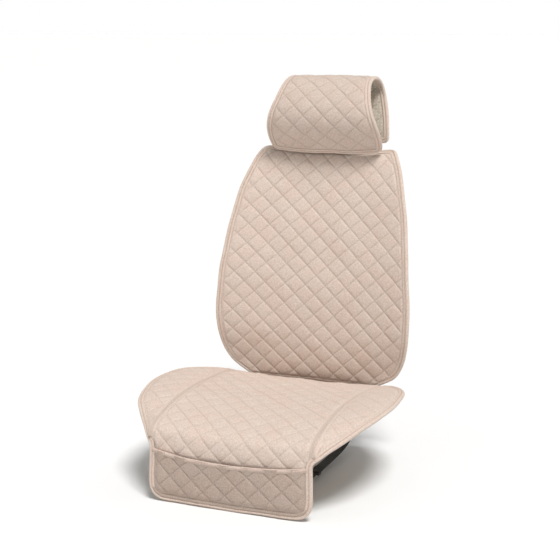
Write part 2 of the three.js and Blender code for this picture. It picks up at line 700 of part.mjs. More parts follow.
// ---------------------------------------------------------------- strap behind the headrest posts
function postStrap(barX, side) {
  const outwards = [
    [barX + side * 3.4, POST_STRAP_Y], [side * 66, POST_STRAP_Y - 3], [side * 92, 476],
    [side * 106, 458], [side * 122, 449.5], [side * 140, 448.5],
  ];
  return joined(...[
    loopShape([barX, POST_STRAP_Y], BUCKLE_BAR + 0.4),
    ribbonShape(outwards, WEB_THICKNESS),
  ].map((shape) => drawnAlongZ(shape, WEB_WIDTH, POST_STRAP_Z)));
}

add('post_strap_left', postStrap(SOCKET_BAR_X, -1), WEBBING);
add('post_strap_right', postStrap(PLUG_BAR_X, 1), WEBBING);

// A block of the buckle, centred on the strap's middle line or above it.
function buckleBlock(sizeX, sizeY, sizeZ, x, above = 0) {
  return block(sizeX, sizeY, sizeZ, x, POST_STRAP_Y, POST_STRAP_Z + above);
}

// A buckle half's end frame: a bar that the strap loops round, between two ears.
function endFrame(barX, toX) {
  const reach = Math.abs(toX - barX) + BUCKLE_BAR;
  const middle = (toX + barX) / 2 + Math.sign(barX - toX) * (BUCKLE_BAR / 2);
  const upright = new THREE.CylinderGeometry(BUCKLE_BAR, BUCKLE_BAR, BUCKLE_WIDTH - 2, 8);
  const standing = bend(upright, ({ x, y, z }) => (
    new THREE.Vector3(barX + x, POST_STRAP_Y + z, POST_STRAP_Z - y)
  ));
  const ears = [-1, 1].map((side) => (
    buckleBlock(reach, 5, EAR, middle, side * (BUCKLE_WIDTH - EAR) / 2)
  ));
  return [standing, ...ears];
}

const socketLength = SOCKET_TO - SOCKET_FROM;
const socketShell = joined(
  buckleBlock(socketLength, 2 * BUCKLE_HALF_THICK, BUCKLE_WIDTH, (SOCKET_FROM + SOCKET_TO) / 2),
  ...endFrame(SOCKET_BAR_X, SOCKET_FROM),
);
const plugRoom = buckleBlock(28, 6.4, BUCKLE_WIDTH - 6, SOCKET_TO - 13);
const catchWindows = buckleBlock(12, 5, BUCKLE_WIDTH + 4, -18);
add('buckle_socket', cut(socketShell, plugRoom, catchWindows), PLASTIC, 0.45);

const prongs = [-PRONG_OFFSET, PRONG_OFFSET].flatMap((above) => [
  buckleBlock(25, 4.6, 4, -12, above),
  buckleBlock(8, 4.2, 5, -20.5, above * 1.06),
]);
add('buckle_plug', joined(
  buckleBlock(9, 2 * BUCKLE_HALF_THICK - 1, BUCKLE_WIDTH - 1, 3.1),
  buckleBlock(18, 3.6, 4.5, -8),
  ...prongs,
  ...endFrame(PLUG_BAR_X, PLUG_FROM),
), PLASTIC, 0.45);

// ---------------------------------------------------------------- closure under the headrest
const closureLine = [[419.5, 551.5], [428, 553], [442, 555.5], [458, 561], [468.5, 570]];
for (const side of [-1, 1]) {
  const name = side < 0 ? 'left' : 'right';
  const band = ribbonShape(closureLine, CLOSURE_THICKNESS);
  const elastic = drawnAlongX(band, CLOSURE_WIDTH, side * CLOSURE_X);
  add(`headrest_elastic_${name}`, elastic, WEBBING);
}

export default group;
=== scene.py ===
"""Looks of a quilted linen cover set for one car seat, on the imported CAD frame.

Lines and lengths are in millimetres up to the moment a mesh is made. +X is to the right as
seen from the front, -Y is to the front and +Z is up, as in the frame.
"""
import math

import bpy
import numpy as np
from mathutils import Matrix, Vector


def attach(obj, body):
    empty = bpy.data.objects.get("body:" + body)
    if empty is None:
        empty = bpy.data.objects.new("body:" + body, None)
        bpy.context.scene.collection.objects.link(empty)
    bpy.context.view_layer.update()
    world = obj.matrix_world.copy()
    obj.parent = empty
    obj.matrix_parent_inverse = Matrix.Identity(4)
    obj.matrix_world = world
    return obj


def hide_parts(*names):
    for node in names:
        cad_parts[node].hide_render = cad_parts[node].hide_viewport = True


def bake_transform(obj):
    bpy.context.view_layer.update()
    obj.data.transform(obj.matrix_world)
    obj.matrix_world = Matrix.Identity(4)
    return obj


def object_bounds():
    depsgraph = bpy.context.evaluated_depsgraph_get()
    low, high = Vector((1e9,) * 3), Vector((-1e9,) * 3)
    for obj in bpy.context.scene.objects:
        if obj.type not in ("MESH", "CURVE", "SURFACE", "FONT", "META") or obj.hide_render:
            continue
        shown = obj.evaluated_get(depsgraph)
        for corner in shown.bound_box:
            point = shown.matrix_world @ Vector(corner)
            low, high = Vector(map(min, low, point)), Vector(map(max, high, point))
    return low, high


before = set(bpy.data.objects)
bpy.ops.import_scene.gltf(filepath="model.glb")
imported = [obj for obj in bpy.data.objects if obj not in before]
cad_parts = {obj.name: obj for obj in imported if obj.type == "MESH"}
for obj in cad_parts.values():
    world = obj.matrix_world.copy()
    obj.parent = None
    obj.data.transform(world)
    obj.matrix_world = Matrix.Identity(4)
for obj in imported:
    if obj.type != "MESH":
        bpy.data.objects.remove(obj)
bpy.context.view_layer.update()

# ------------------------------------------------------------------ driving dimensions
MM = 0.001
SIDES = ((-1, "left"), (1, "right"))
REST_HEIGHT = 17.0  # the frame's zero height lies this far below the lines' own
STITCHED = 2.7  # half the thickness of a panel where it is sewn or bound
FACE_DEPTH = 0.3  # the face reaches this far below the middle of a panel
LINING_DEPTH = 0.5  # and the lining starts this far below it
PUFF = 2.9  # how far a diamond swells above its stitched lines
BACK_PUFF = 1.7
LINING_BACK = 4.6  # how far behind the middle of a panel its lining's back lies
BINDING_REACH = 13.0
SEAM_REACH = 6.0
PUFF_RAMP = 7.0  # a panel swells to its full height over this distance from a bound edge
DIAMOND_WIDTH = 55.0  # from one quilted diamond to the next across
DIAMOND_HEIGHT = 50.0  # and along
DIAMOND_SPACING = 1 / math.hypot(1 / DIAMOND_WIDTH, 1 / DIAMOND_HEIGHT)
FACE_STEP = 2.05  # spacing of a face's grid
LINING_STEP = 3.4
WING_ROWS, WING_COLUMNS = 230, 56
POCKET_ROWS, POCKET_COLUMNS = 54, 96
TAPE_STEP = 3.4  # spacing of a binding's sections
LOOP_STEP = 3.2  # the same for the cushion's binding and the pocket's foot
STITCH = 3.2
STITCH_GAP = 1.1
BOX_STITCH = 2.1
QUILT_THREAD = 0.36  # radius of the thread in the quilting
EDGE_THREAD = 0.38
SEAM_THREAD = 0.4
BOX_THREAD = 0.36
THREAD_RISE = 0.15
CORNER = 14.0  # of the backrest and headrest covers

CUSHION_MIDDLE = [
    (-198, -207), (-201, -155), (-200, -110), (-199, -73), (-189, -47), (-150, -31), (-88, -18),
    (-15, -12), (60, -13), (140, -16), (215, -22), (270, -30), (304, -40),
]
CUSHION_EDGE = [
    (198, -197, -205), (198, -197, -150), (198, -195, -105), (197, -194, -68), (195, -184, -42),
    (195, -146, -26), (195, -86, -12), (195, -15, -4), (195, 60, -4), (196, 140, -8),
    (200, 215, -15), (202, 270, -24), (200, 304, -36),
]
WING_OUTLINE = [
    (203, -191, -75), (224, -167, -57), (256, -132, -35), (282, -95, -15), (300, -35, -5),
    (308, 30, 0), (306, 100, 1), (294, 162, -2), (268, 220, -11), (236, 262, -20), (210, 294, -31),
]
BACK_MIDDLE = [
    (334, -46), (328, -28), (323, -5), (320, 32), (320, 85), (326, 145), (336, 210), (349, 272),
    (364, 335), (381, 400), (399, 464), (413, 508), (426, 530), (442, 541),
]
BACK_EDGE = [
    (158, 332, -44), (186, 324, -31), (222, 322, -8), (246, 312, 32), (258, 299, 85),
    (261, 297, 145), (257, 303, 210), (251, 314, 272), (243, 331, 335), (232, 352, 400),
    (217, 376, 464), (198, 403, 516), (185, 423, 540), (174, 442, 550),
]
HEAD_MIDDLE = [
    (418, 541), (390, 570), (367, 603), (360, 640), (371, 675), (397, 708), (435, 727), (478, 729),
    (511, 716), (524, 689), (512, 655), (494, 620), (481, 588), (476, 566),
]
HEAD_EDGE = [
    (147, 420, 547), (151, 395, 576), (148, 374, 606), (139, 367, 640), (128, 377, 674),
    (119, 402, 707), (114, 437, 726), (112, 478, 728), (115, 508, 715), (121, 518, 688),
    (130, 505, 655), (140, 488, 620), (145, 476, 588), (146, 472, 566),
]
FLAP_CORNER = 34.0
FLAP_TAPE_LIFT = 1.9
REAR_EDGE_X = 194.0  # half of the rear edge that lies straight
WING_TIP_STATION = 3.15
WING_REAR_STATION = 11.9
WING_GAP = 3.9
WING_CROWN = 5.0
WING_REACH = (315, -190, 300)  # across, and from its front to its rear

POCKET_INSET = 8.0
POCKET_FLOOR = 12.0
POCKET_MOUTH = 116.0
POCKET_SAG = 8.0
POCKET_BELLY = 6.5
POCKET_EDGE_RISE = 3.2
POCKET_RISE = 6.6
POCKET_CLOTH = 1.3  # thickness of the pocket where it is sewn

ROD_CENTRE = (356.0, -80.0)
ROD_RADIUS = 7.5
ROD_HALF_LENGTH = 150.0
SLEEVE_HALF_LENGTH = 154.0
SLEEVE_RADIUS = 8.5
TUCK_HALF_WIDTH = 150.0
TUCK_FRONT = [(303.5, -40), (312, -45.5), (322, -53), (338, -66), (346.5, -73.5)]
TUCK_REAR = [(334.0, -44), (337.5, -51), (342, -57), (350.5, -69.5)]

WEB_WIDTH = 25.0
WEB_THICKNESS = 1.5
RIB_SPACING = 2.6
UNDER_STRAP_X = 105.0
UNDER_STRAP_Z = -190.0
HOOK_BAR_Y = 62.0
RING_BAR_Y = 8.0
RING_FRONT_Y = -10.0
RING_HALF_WIDTH = 16.5
WIRE = 1.8
POST_STRAP_Y = 492.0
POST_STRAP_Z = 532.0
POST_STRAP_DROP = 12.0  # how much lower its sewn end is
POST_LIFTS_X = 100.0  # inside this it stands off the lining
SOCKET_BAR_X = -44.0
PLUG_BAR_X = 18.0
POST_STRAP_LEAD = [
    (164, 428), (150, 434), (136, 444), (122, 453), (106, 463), (92, 474), (78, 484),
]
CLOSURE_X = 42.0
CLOSURE_WIDTH = 34.0
CLOSURE_LINE = [(417.5, 549.5), (422, 551.5), (430, 553.2), (442, 555.5), (458, 561), (469.5, 570)]

CAMERA_AZIMUTH = 22.5
CAMERA_ELEVATION = 11.0
CAMERA_DISTANCE = 3.1  # metres
CAMERA_AIM = (0, 0.1, 0.281)
FOCAL_LENGTH = 83.5714286


# ------------------------------------------------------------------ curves and sheets
def curve(points, t):
    """A uniform Catmull-Rom curve through the points, at t from 0 to 1."""
    spots = np.asarray(points, float)
    padded = np.vstack([2 * spots[0] - spots[1], spots, 2 * spots[-1] - spots[-2]])
    place = np.clip(np.asarray(t, float), 0, 1) * (len(spots) - 1)
    start = np.minimum(place.astype(int), len(spots) - 2)
    w = (place - start)[..., None]
    before, here, there, after = (padded[start + k] for k in range(4))
    leave, arrive = (there - before) / 2, (after - here) / 2
    cubic = 2 * here - 2 * there + leave + arrive
    square = 3 * there - 3 * here - 2 * leave - arrive
    return cubic * w**3 + square * w**2 + leave * w + here


def smooth(share):
    inside = np.clip(share, 0, 1)
    return inside * inside * (3 - 2 * inside)


def unit(vectors):
    return vectors / np.linalg.norm(vectors, axis=-1, keepdims=True)


def distances(points):
    """How far along a path each of its points is."""
    steps = np.linalg.norm(np.diff(points, axis=0), axis=1)
    return np.concatenate([[0], np.cumsum(steps)])


def spread_out(*values):
    return np.broadcast_arrays(*(np.asarray(value, float) for value in values))


def waves(x, s, length, seed):
    """Smooth unevenness, from about -1 to 1, with waves of roughly that length."""
    draw = np.random.default_rng(seed)
    total = np.zeros(np.broadcast(x, s).shape)
    for _ in range(7):
        angle = draw.uniform(0, math.pi)
        pace = 2 * math.pi / (length * draw.uniform(0.7, 1.5))
        along = x * math.cos(angle) + s * math.sin(angle)
        total = total + np.sin(pace * along + draw.uniform(0, 2 * math.pi))
    return total / 3.5


def raised(surface, across, along, step_across, step_along, height):
    """Points of a surface, moved along its normal."""
    sideways = surface(across + step_across, along) - surface(across - step_across, along)
    onwards = surface(across, along + step_along) - surface(across, along - step_along)
    normal = unit(np.cross(sideways, onwards))
    return surface(across, along) + normal * np.asarray(height, float)[..., None]


class Sheet:
    """A cover's surface between a middle line and an edge line, with some cloth-like sway."""

    def __init__(self, middle, edge, dish, sway, drift, seed):
        self.middle = [(0, y, z) for y, z in middle]
        self.edge = edge
        self.dish = dish
        self.sway_height = sway
        self.drift_length = drift
        self.seed = seed
        self.stations = len(middle) - 1
        self.t = np.linspace(0, 1, 201)
        self.lengths = distances(curve(self.middle, self.t))
        self.length = float(self.lengths[-1])

    def distance(self, station):
        return float(np.interp(station / self.stations, self.t, self.lengths))

    def half_width(self, s):
        return curve(self.edge, np.interp(s, self.lengths, self.t))[..., 0]

    def point(self, x, s):
        inside = np.clip(s, 0.01, self.length - 0.01)
        t = np.interp(inside, self.lengths, self.t)
        middle, edge = curve(self.middle, t), curve(self.edge, t)
        share = (np.abs(x) / edge[..., 0]) ** self.dish
        spot = middle + (edge - middle) * share[..., None]
        spot[..., 0] = x
        onwards = unit(curve(self.middle, t + 1e-4) - curve(self.middle, t - 1e-4))
        return spot + onwards * (s - inside)[..., None]

    def sway(self, x, s):
        return self.sway_height * waves(x, s, 130, self.seed)

    def drift(self, x, s):
        near_end = np.exp(-s / 45) + np.exp((s - self.length) / 45)
        return self.drift_length * waves(x, 0 * s, 62, self.seed + 1) * near_end

    def at(self, x, s, height):
        x, s, height = spread_out(x, s, height)
        return raised(self.point, x, s + self.drift(x, s), 1.0, 1.0, height + self.sway(x, s))


class Wing:
    """The side wing of the cushion cover: a from the seam to the edge, b from front to rear."""

    def __init__(self, sheet, outline):
        self.sheet = sheet
        self.outline = outline
        self.start = sheet.distance(WING_TIP_STATION)
        self.end = sheet.distance(WING_REAR_STATION)

    def seam_place(self, b):
        return self.start + (self.end - self.start) * b

    def point(self, a, b):
        s = self.seam_place(b)
        seam = self.sheet.point(self.sheet.half_width(s) + WING_GAP, s)
        spot = seam + (curve(self.outline, b) - seam) * np.asarray(a, float)[..., None]
        crown = np.sin(math.pi * np.clip(a, 0, 1)) * np.sin(math.pi * np.clip(b, 0, 1))
        spot[..., 2] += WING_CROWN * crown
        return spot

    def width(self, b):
        a = np.zeros(np.shape(b))
        return np.linalg.norm(self.point(a + 1, b) - self.point(a, b), axis=-1)

    def at(self, a, b, height):
        a, b, height = spread_out(a, b, height)
        s = self.seam_place(b)
        sway = self.sheet.sway(self.sheet.half_width(s) * np.ones_like(a), s)
        return raised(self.point, a, b, 0.01, 0.01, height + sway)

    def place_of(self, x, y):
        """The a and b whose point lies over x and y."""
        a, b = np.full(np.shape(x), 0.5), np.full(np.shape(x), 0.5)
        for _ in range(25):
            here = self.point(a, b)
            by_a = (self.point(a + 1e-3, b) - here) / 1e-3
            by_b = (self.point(a, b + 1e-3) - here) / 1e-3
            off_x, off_y = x - here[..., 0], y - here[..., 1]
            scale = by_a[..., 0] * by_b[..., 1] - by_a[..., 1] * by_b[..., 0]
            scale = np.where(np.abs(scale) < 1, 1, scale)
            a = a + np.clip((off_x * by_b[..., 1] - off_y * by_b[..., 0]) / scale, -0.2, 0.2)
            b = b + np.clip((off_y * by_a[..., 0] - off_x * by_a[..., 1]) / scale, -0.1, 0.1)
            a, b = np.clip(a, -0.2, 1.2), np.clip(b, 0.001, 0.999)
        return a, b


def rounded_half(sheet, s, inset=0.0, start=0.0, end=0.0):
    """Half the width of a sheet whose corners are rounded at its start and end."""
    half = sheet.half_width(s) - inset
    for radius, reach in ((start, s - inset), (end, sheet.length - s - inset)):
        if radius:
            round_by = max(radius - inset, 0.1)
            short = np.clip(round_by - reach, 0, round_by)
            half = half - round_by + np.sqrt(np.maximum(round_by**2 - short**2, 0))
    return half


def edge_distance(sheet, x, s, start=0.0, end=0.0):
    """How far a point of a sheet is from its outline."""
    side = sheet.half_width(s) - np.abs(x)
    near = np.minimum(side, np.minimum(s, sheet.length - s))
    for radius, reach in ((start, s), (end, sheet.length - s)):
        if radius:
            corner = radius - np.hypot(radius - side, radius - reach)
            near = np.where((side < radius) & (reach < radius), corner, near)
    return near


class Quilt:
    """Diamond quilting: its relief above the stitched lines, and where its stitches are."""

    def __init__(self, shift, puff, seed):
        self.shift = shift
        self.puff = puff
        self.seed = seed

    def lines(self, x, s):
        falling = x / DIAMOND_WIDTH + s / DIAMOND_HEIGHT + self.shift[0]
        rising = x / DIAMOND_WIDTH - s / DIAMOND_HEIGHT + self.shift[1]
        return falling, rising

    def relief(self, x, s):
        falling, rising = self.lines(x, s)
        dome = np.abs(np.sin(math.pi * falling) * np.sin(math.pi * rising)) ** 0.6
        cell = np.sin(12.9898 * np.floor(falling) + 78.233 * np.floor(rising) + self.seed)
        fullness = 1 + 0.14 * np.sin(43758.5453 * cell)
        off_falling, off_rising = (
            np.abs(value - np.round(value)) * DIAMOND_SPACING for value in (falling, rising))
        shoulder = 1 - np.exp(-off_falling / 2.6)
        shoulder = shoulder * (0.3 + 0.7 * (1 - np.exp(-off_rising / 2.2)))
        along = (x - s) * 0.62 + 3 * waves(x, s, 40, self.seed)
        near = np.minimum(off_falling, 1.25 * off_rising)
        pucker = 0.2 * np.sin(along) * np.exp(-((near / 5.0) ** 2)) * (1 - np.exp(-near / 1.5))
        return self.puff * (0.42 * dome + 0.58 * shoulder) * fullness + pucker

    def cloth(self, x, s, swell):
        """Values for the cloth shader: place on the cloth, then the quilt's own lines."""
        falling, rising = self.lines(x, s)
        return np.stack(spread_out(x, s, 0, falling, rising, swell), -1)

    def stitches(self, inside, x_reach, s_from, s_to):
        """(x, s) where each stitch starts and where it ends."""
        steepness = DIAMOND_HEIGHT / math.hypot(DIAMOND_WIDTH, DIAMOND_HEIGHT)
        length = STITCH * steepness
        s = np.arange(s_from, s_to, (STITCH + STITCH_GAP) * steepness)
        most = math.ceil(x_reach / DIAMOND_WIDTH + abs(s_to) / DIAMOND_HEIGHT + 3)
        starts, ends = [], []
        for sign, shift in ((1, self.shift[0]), (-1, self.shift[1])):
            for number in range(-most, most):
                x, x_end = (DIAMOND_WIDTH * (number - shift - sign * at / DIAMOND_HEIGHT)
                            for at in (s, s + length))
                keep = (np.abs(x) < x_reach) & inside(x, s) & inside(x_end, s + length)
                starts.append(np.stack([x[keep], s[keep]], 1))
                ends.append(np.stack([x_end[keep], s[keep] + length], 1))
        return np.concatenate(starts), np.concatenate(ends)


# ------------------------------------------------------------------ meshes
def make_object(name, points, faces, material, cloth, sharp):
    """A mesh object from points in millimetres.

    cloth is (across, along, crease) for each point, and then (falling, rising, swell) if quilted.
    """
    spots = np.asarray(points, float).reshape(-1, 3) * MM
    spots[:, 2] += REST_HEIGHT * MM
    mesh = bpy.data.meshes.new(name)
    mesh.from_pydata(spots.tolist(), [], faces)
    mesh.update()
    values = np.array(cloth, float).reshape(len(spots), -1, 3)
    values[:, 0, :2] *= MM
    for number, label in enumerate(("cloth", "quilt")[:values.shape[1]]):
        attribute = mesh.attributes.new(label, "FLOAT_VECTOR", "POINT")
        attribute.data.foreach_set("vector", values[:, number].astype(np.float32).ravel())
    mesh.polygons.foreach_set("use_smooth", [True] * len(mesh.polygons))
    mesh.set_sharp_from_angle(angle=math.radians(sharp))
    mesh.materials.append(material)
    obj = bpy.data.objects.new(name, mesh)
    bpy.context.scene.collection.objects.link(obj)
    return obj


def grid_quads(rows, columns, offset=0):
    row, column = np.meshgrid(np.arange(rows - 1), np.arange(columns - 1), indexing="ij")
    first = (row * columns + column).ravel() + offset
    return np.stack([first, first + 1, first + columns + 1, first + columns], 1)


def turned_out(points, quads):
    spots = np.asarray(points, float).reshape(-1, 3)
    a, b, c, d = (spots[quads[:, k]] for k in range(4))
    volume = (a * np.cross(b, c)).sum() + (a * np.cross(c, d)).sum()
    return quads if volume > 0 else quads[:, ::-1]


def slab(name, upper, lower, material, cloth, sharp=50):
    """A closed thin solid between two grids of points with the same rows and columns."""
    rows, columns = upper.shape[:2]
    count = rows * columns
    number = np.arange(count).reshape(rows, columns)
    top = grid_quads(rows, columns)
    bottom = grid_quads(rows, columns, count)[:, ::-1]
    rim = np.concatenate([
        number[:-1, 0], number[-1, :-1], number[:0:-1, -1], number[0, :0:-1],
    ])
    following = np.roll(rim, -1)
    side = np.stack([following, rim, rim + count, following + count], 1)
    points = np.concatenate([upper.reshape(-1, 3), lower.reshape(-1, 3)])
    quads = turned_out(points, np.concatenate([top, bottom, side[:, ::-1]]))
    values = np.concatenate([cloth.reshape(-1, cloth.shape[-1])] * 2)
    return make_object(name, points, quads.tolist(), material, values, sharp)


def swept(name, sections, material, cloth, sharp=50, closed=False):
    """A solid through sections (step, point, xyz), each a closed loop of points."""
    steps, around = sections.shape[:2]
    number = np.arange(steps * around).reshape(steps, around)
    if closed:
        number = np.concatenate([number, number[:1]])
    beside = np.roll(number, -1, axis=1)
    quads = np.stack([number[:-1], beside[:-1], beside[1:], number[1:]], -1).reshape(-1, 4)
    turned = turned_out(sections, quads)
    faces = turned.tolist()
    if not closed:
        flipped = turned is not quads
        first, last = number[0].tolist(), number[-1].tolist()
        faces += [first, last[::-1]] if flipped else [first[::-1], last]
    return make_object(name, sections, faces, material, cloth, sharp)


def thread(name, starts, ends, normals, material, radius):
    """Small stitches, each a bead of thread from its start to its end."""
    up = unit(normals)
    side = np.cross(unit(ends - starts), up)
    near, far = starts + 0.22 * (ends - starts), starts + 0.78 * (ends - starts)
    ring = [side * radius, up * radius * 1.1, -side * radius, -up * radius]
    parts = [starts - up * radius] + [near + r for r in ring] + [far + r for r in ring]
    parts.append(ends - up * radius)
    spots = np.stack(parts, 1).reshape(-1, 3)
    first = np.arange(len(starts))[:, None] * len(parts)
    fans, belts = [], []
    for k in range(4):
        following = (k + 1) % 4
        fans += [first + [0, 1 + following, 1 + k], first + [9, 5 + k, 5 + following]]
        belts.append(first + [1 + k, 1 + following, 5 + following, 5 + k])
    faces = np.concatenate(fans).tolist() + np.concatenate(belts).tolist()
    return make_object(name, spots, faces, material, spots * [1, 1, 0], sharp=80)


def quilting(name, starts, ends, place):
    """Thread along stitches. place(x, s, lift) is that far above the face that it is sewn in."""
    first, last, above = (place(*spots.T, lift) for spots, lift in (
        (starts, THREAD_RISE), (ends, THREAD_RISE), (starts, THREAD_RISE + 1)))
    return thread(name, first, last, above - first, THREAD_LIGHT, QUILT_THREAD)


def topstitching(name, place, run, rows, radius, lift=None):
    """Thread along a swept piece, in rows given as (across, height). lift raises the upper rows."""
    steps = np.arange(len(run))
    at = np.arange(1, run[-1] - STITCH - 1, STITCH + STITCH_GAP)

    def spots(ahead, up):
        index = np.interp(at + ahead, run, steps)
        low = np.floor(index).astype(int)
        high = np.minimum(low + 1, len(run) - 1)
        share = (index - low)[:, None]
        found = []
        for across, height in rows:
            tall = height + math.copysign(up, height) + 0 * index
            if lift is not None and height > 0:
                tall = tall + np.interp(index, steps, lift)
            near, far = (place(across + 0 * index, tall, k) for k in (low, high))
            found.append(near + (far - near) * share)
        return np.concatenate(found)

    starts = spots(0, 0)
    return thread(name, starts, spots(STITCH, 0), spots(0, 1) - starts, THREAD_LIGHT, radius)


def settle(obj, body, slot, *nodes):
    """Put a piece on its body, and hide the CAD nodes that it replaces. slot is not used."""
    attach(obj, body)
    if nodes:
        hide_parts(*nodes)


# ------------------------------------------------------------------ materials
def linear(color):
    values = [channel / 255 for channel in color]
    bent = [v / 12.92 if v <= 0.04045 else ((v + 0.055) / 1.055) ** 2.4 for v in values]
    return (*bent, 1.0)


def shade(color, share):
    return tuple(channel * share for channel in color[:3]) + (1.0,)


class Tree:
    """Shader nodes of a material or world. Inputs given as sockets are linked, the rest set."""

    def __init__(self, owner):
        owner.use_nodes = True
        self.owner = owner
        self.nodes = owner.node_tree.nodes
        self.links = owner.node_tree.links

    def feed(self, socket, value):
        if isinstance(value, bpy.types.NodeSocket):
            self.links.new(value, socket)
        elif value is not None:
            socket.default_value = value

    def add(self, kind, *inputs, output=0, settings=None, **named):
        """One output of a new node, whose inputs are given in order or by name."""
        node = self.nodes.new(f"ShaderNode{kind}")
        for key, value in (settings or {}).items():
            setattr(node, key, value)
        for key, value in (*enumerate(inputs), *named.items()):
            self.feed(node.inputs[key], value)
        return node.outputs[output]

    def attribute(self, name):
        return self.add("Attribute", output="Vector", settings={"attribute_name": name})

    def parts(self, vector):
        return self.add("SeparateXYZ", vector).node.outputs

    def maths(self, operation, *values):
        return self.add("Math", *values, settings={"operation": operation})

    def times(self, first, second):
        return self.maths("MULTIPLY", first, second)

    def times_plus(self, first, second, more):
        return self.maths("MULTIPLY_ADD", first, second, more)

    def noise(self, vector, scale, detail=3.0, roughness=0.5):
        """Noise of one scale, or of one for each direction."""
        if isinstance(scale, tuple):
            vector = self.add("VectorMath", vector, scale, settings={"operation": "MULTIPLY"})
            scale = 1.0
        return self.add("TexNoise", output="Fac", Vector=vector, Scale=scale, Detail=detail,
                        Roughness=roughness)

    def spread(self, value, low, high, to_low=0.0, to_high=1.0):
        return self.add("MapRange", value, low, high, to_low, to_high)

    def blend(self, share, first, second, how="MIX"):
        return self.add("Mix", share, *[None] * 5, first, second, output=2,
                        settings={"data_type": "RGBA", "blend_type": how})

    def finish(self, color, roughness, bump=None, distance=0.0003, strength=0.5, **uniform):
        if bump is not None:
            bump = self.add("Bump", Height=bump, Distance=distance, Strength=strength)
        inputs = {"Base_Color": color, "Roughness": roughness, "Normal": bump, **uniform}
        for key, value in inputs.items():
            self.feed(self.nodes["Principled BSDF"].inputs[key.replace("_", " ")], value)
        return self.owner


def cloth_tree(name):
    """A material's tree, with the place on its cloth: its parts, and without the crease."""
    tree = Tree(bpy.data.materials.new(name))
    parts = tree.parts(tree.attribute("cloth"))
    return tree, parts, tree.add("CombineXYZ", parts[0], parts[1])


def quilt_lines(tree):
    """Where a quilted cloth is drawn down by its stitching: 1 on a line, 0 away from it."""
    falling, rising, swell = tree.parts(tree.attribute("quilt"))

    def line(value, reach, weight):
        part = tree.maths("FRACT", tree.maths("ADD", value, 0.5))
        off = tree.times(tree.maths("ABSOLUTE", tree.maths("SUBTRACT", part, 0.5)), DIAMOND_SPACING)
        return tree.spread(off, 0.2, reach, weight, 0.0)

    return tree.times(tree.maths("MAXIMUM", line(falling, 1.8, 1.0), line(rising, 1.5, 0.8)), swell)


def cloth_material(name, light, middle, dark, pitch=0.0009, sheen=0.12, crease=0.30):
    """Woven melange cloth: threads of three shades, a plain weave, soft blotches, and painted shade
    darkening its creases.
    """
    light, middle, dark = map(linear, (light, middle, dark))
    tree, parts, flat = cloth_tree(name)
    weft = tree.noise(flat, (110, 640, 1), 2.0, 0.6)
    warp = tree.noise(flat, (640, 110, 1), 2.0, 0.6)
    slubs = tree.noise(flat, (260, 260, 1), 4.0, 0.7)
    blotches = tree.noise(flat, (16, 16, 1), 3.0, 0.5)
    threads = tree.times_plus(weft, 0.5, tree.times(warp, 0.5))
    tone = tree.times_plus(slubs, 0.5, tree.times(threads, 0.5))
    color = tree.blend(tree.spread(tone, 0.38, 0.51), dark, middle)
    color = tree.blend(tree.spread(tone, 0.49, 0.62), color, light)
    color = tree.blend(tree.spread(blotches, 0.40, 0.62, 0.0, 0.5), color, BLUSH, "MULTIPLY")
    creases = tree.maths("MAXIMUM", quilt_lines(tree), parts[2])
    # painted shade: the creases of quilting, bindings and seams are darkened towards a deep shade of
    # the dark thread colour
    color = tree.blend(tree.times(creases, crease), color, shade(dark, 0.42))
    waves_up, waves_on = (
        tree.maths("SINE", tree.times(part, 2 * math.pi / pitch)) for part in parts[:2])
    height = tree.times_plus(tree.times(waves_up, waves_on), 0.35, threads)
    height = tree.times_plus(slubs, 1.2, height)
    height = tree.times_plus(creases, -1.6, height)
    roughness = tree.spread(slubs, 0.3, 0.7, 0.86, 0.97)
    return tree.finish(color, roughness, height, 0.00045, 0.7, Sheen_Weight=sheen,
                       Sheen_Roughness=0.45, Specular_IOR_Level=0.25)


def lining_material(name, ground, dot):
    """Non-woven backing with a field of small grip dots."""
    ground, dot = linear(ground), linear(dot)
    tree, _, flat = cloth_tree(name)
    fibres = tree.noise(flat, (500, 500, 1), 5.0, 0.7)
    patches = tree.noise(flat, (20, 20, 1), 3.0, 0.5)
    dots = tree.add("TexVoronoi", output="Distance", settings={"feature": "F1"}, Vector=flat,
                    Scale=105.0, Randomness=0.0)
    mask = tree.spread(dots, 0.13, 0.19, 1.0, 0.0)
    darker = shade(ground, 0.8)
    color = tree.blend(tree.spread(fibres, 0.35, 0.65), darker, ground)
    color = tree.blend(tree.spread(patches, 0.3, 0.8, 0.0, 0.4), color, darker)
    # painted shade: the lining is darker along its quilting lines
    color = tree.blend(tree.times(quilt_lines(tree), 0.8), color, shade(ground, 0.5))
    color = tree.blend(mask, color, dot)
    height = tree.times_plus(mask, 1.6, fibres)
    roughness = tree.spread(mask, 0.0, 1.0, 0.93, 0.5)
    return tree.finish(color, roughness, height, 0.0004, 0.6, Specular_IOR_Level=0.3)


def webbing_material(name, light, dark):
    """Black woven webbing with ribs along it and a herringbone across."""
    light, dark = linear(light), linear(dark)
    tree, parts, _ = cloth_tree(name)
    ribs = tree.maths("SINE", tree.times(parts[0], 2 * math.pi / 0.0021))
    slant = tree.times_plus(tree.maths("ABSOLUTE", ribs), 0.0004, parts[1])
    picks = tree.maths("SINE", tree.times(slant, 2 * math.pi / 0.0012))
    grain = tree.noise(tree.attribute("cloth"), (900, 900, 1), 3.0, 0.6)
    weave = tree.times_plus(picks, 0.5, ribs)
    color = tree.blend(tree.spread(tree.times_plus(grain, 1.4, weave), -0.6, 1.8), dark, light)
    return tree.finish(color, tree.spread(grain, 0.3, 0.7, 0.62, 0.8), weave, 0.0003, 0.7,
                       Sheen_Weight=0.1)


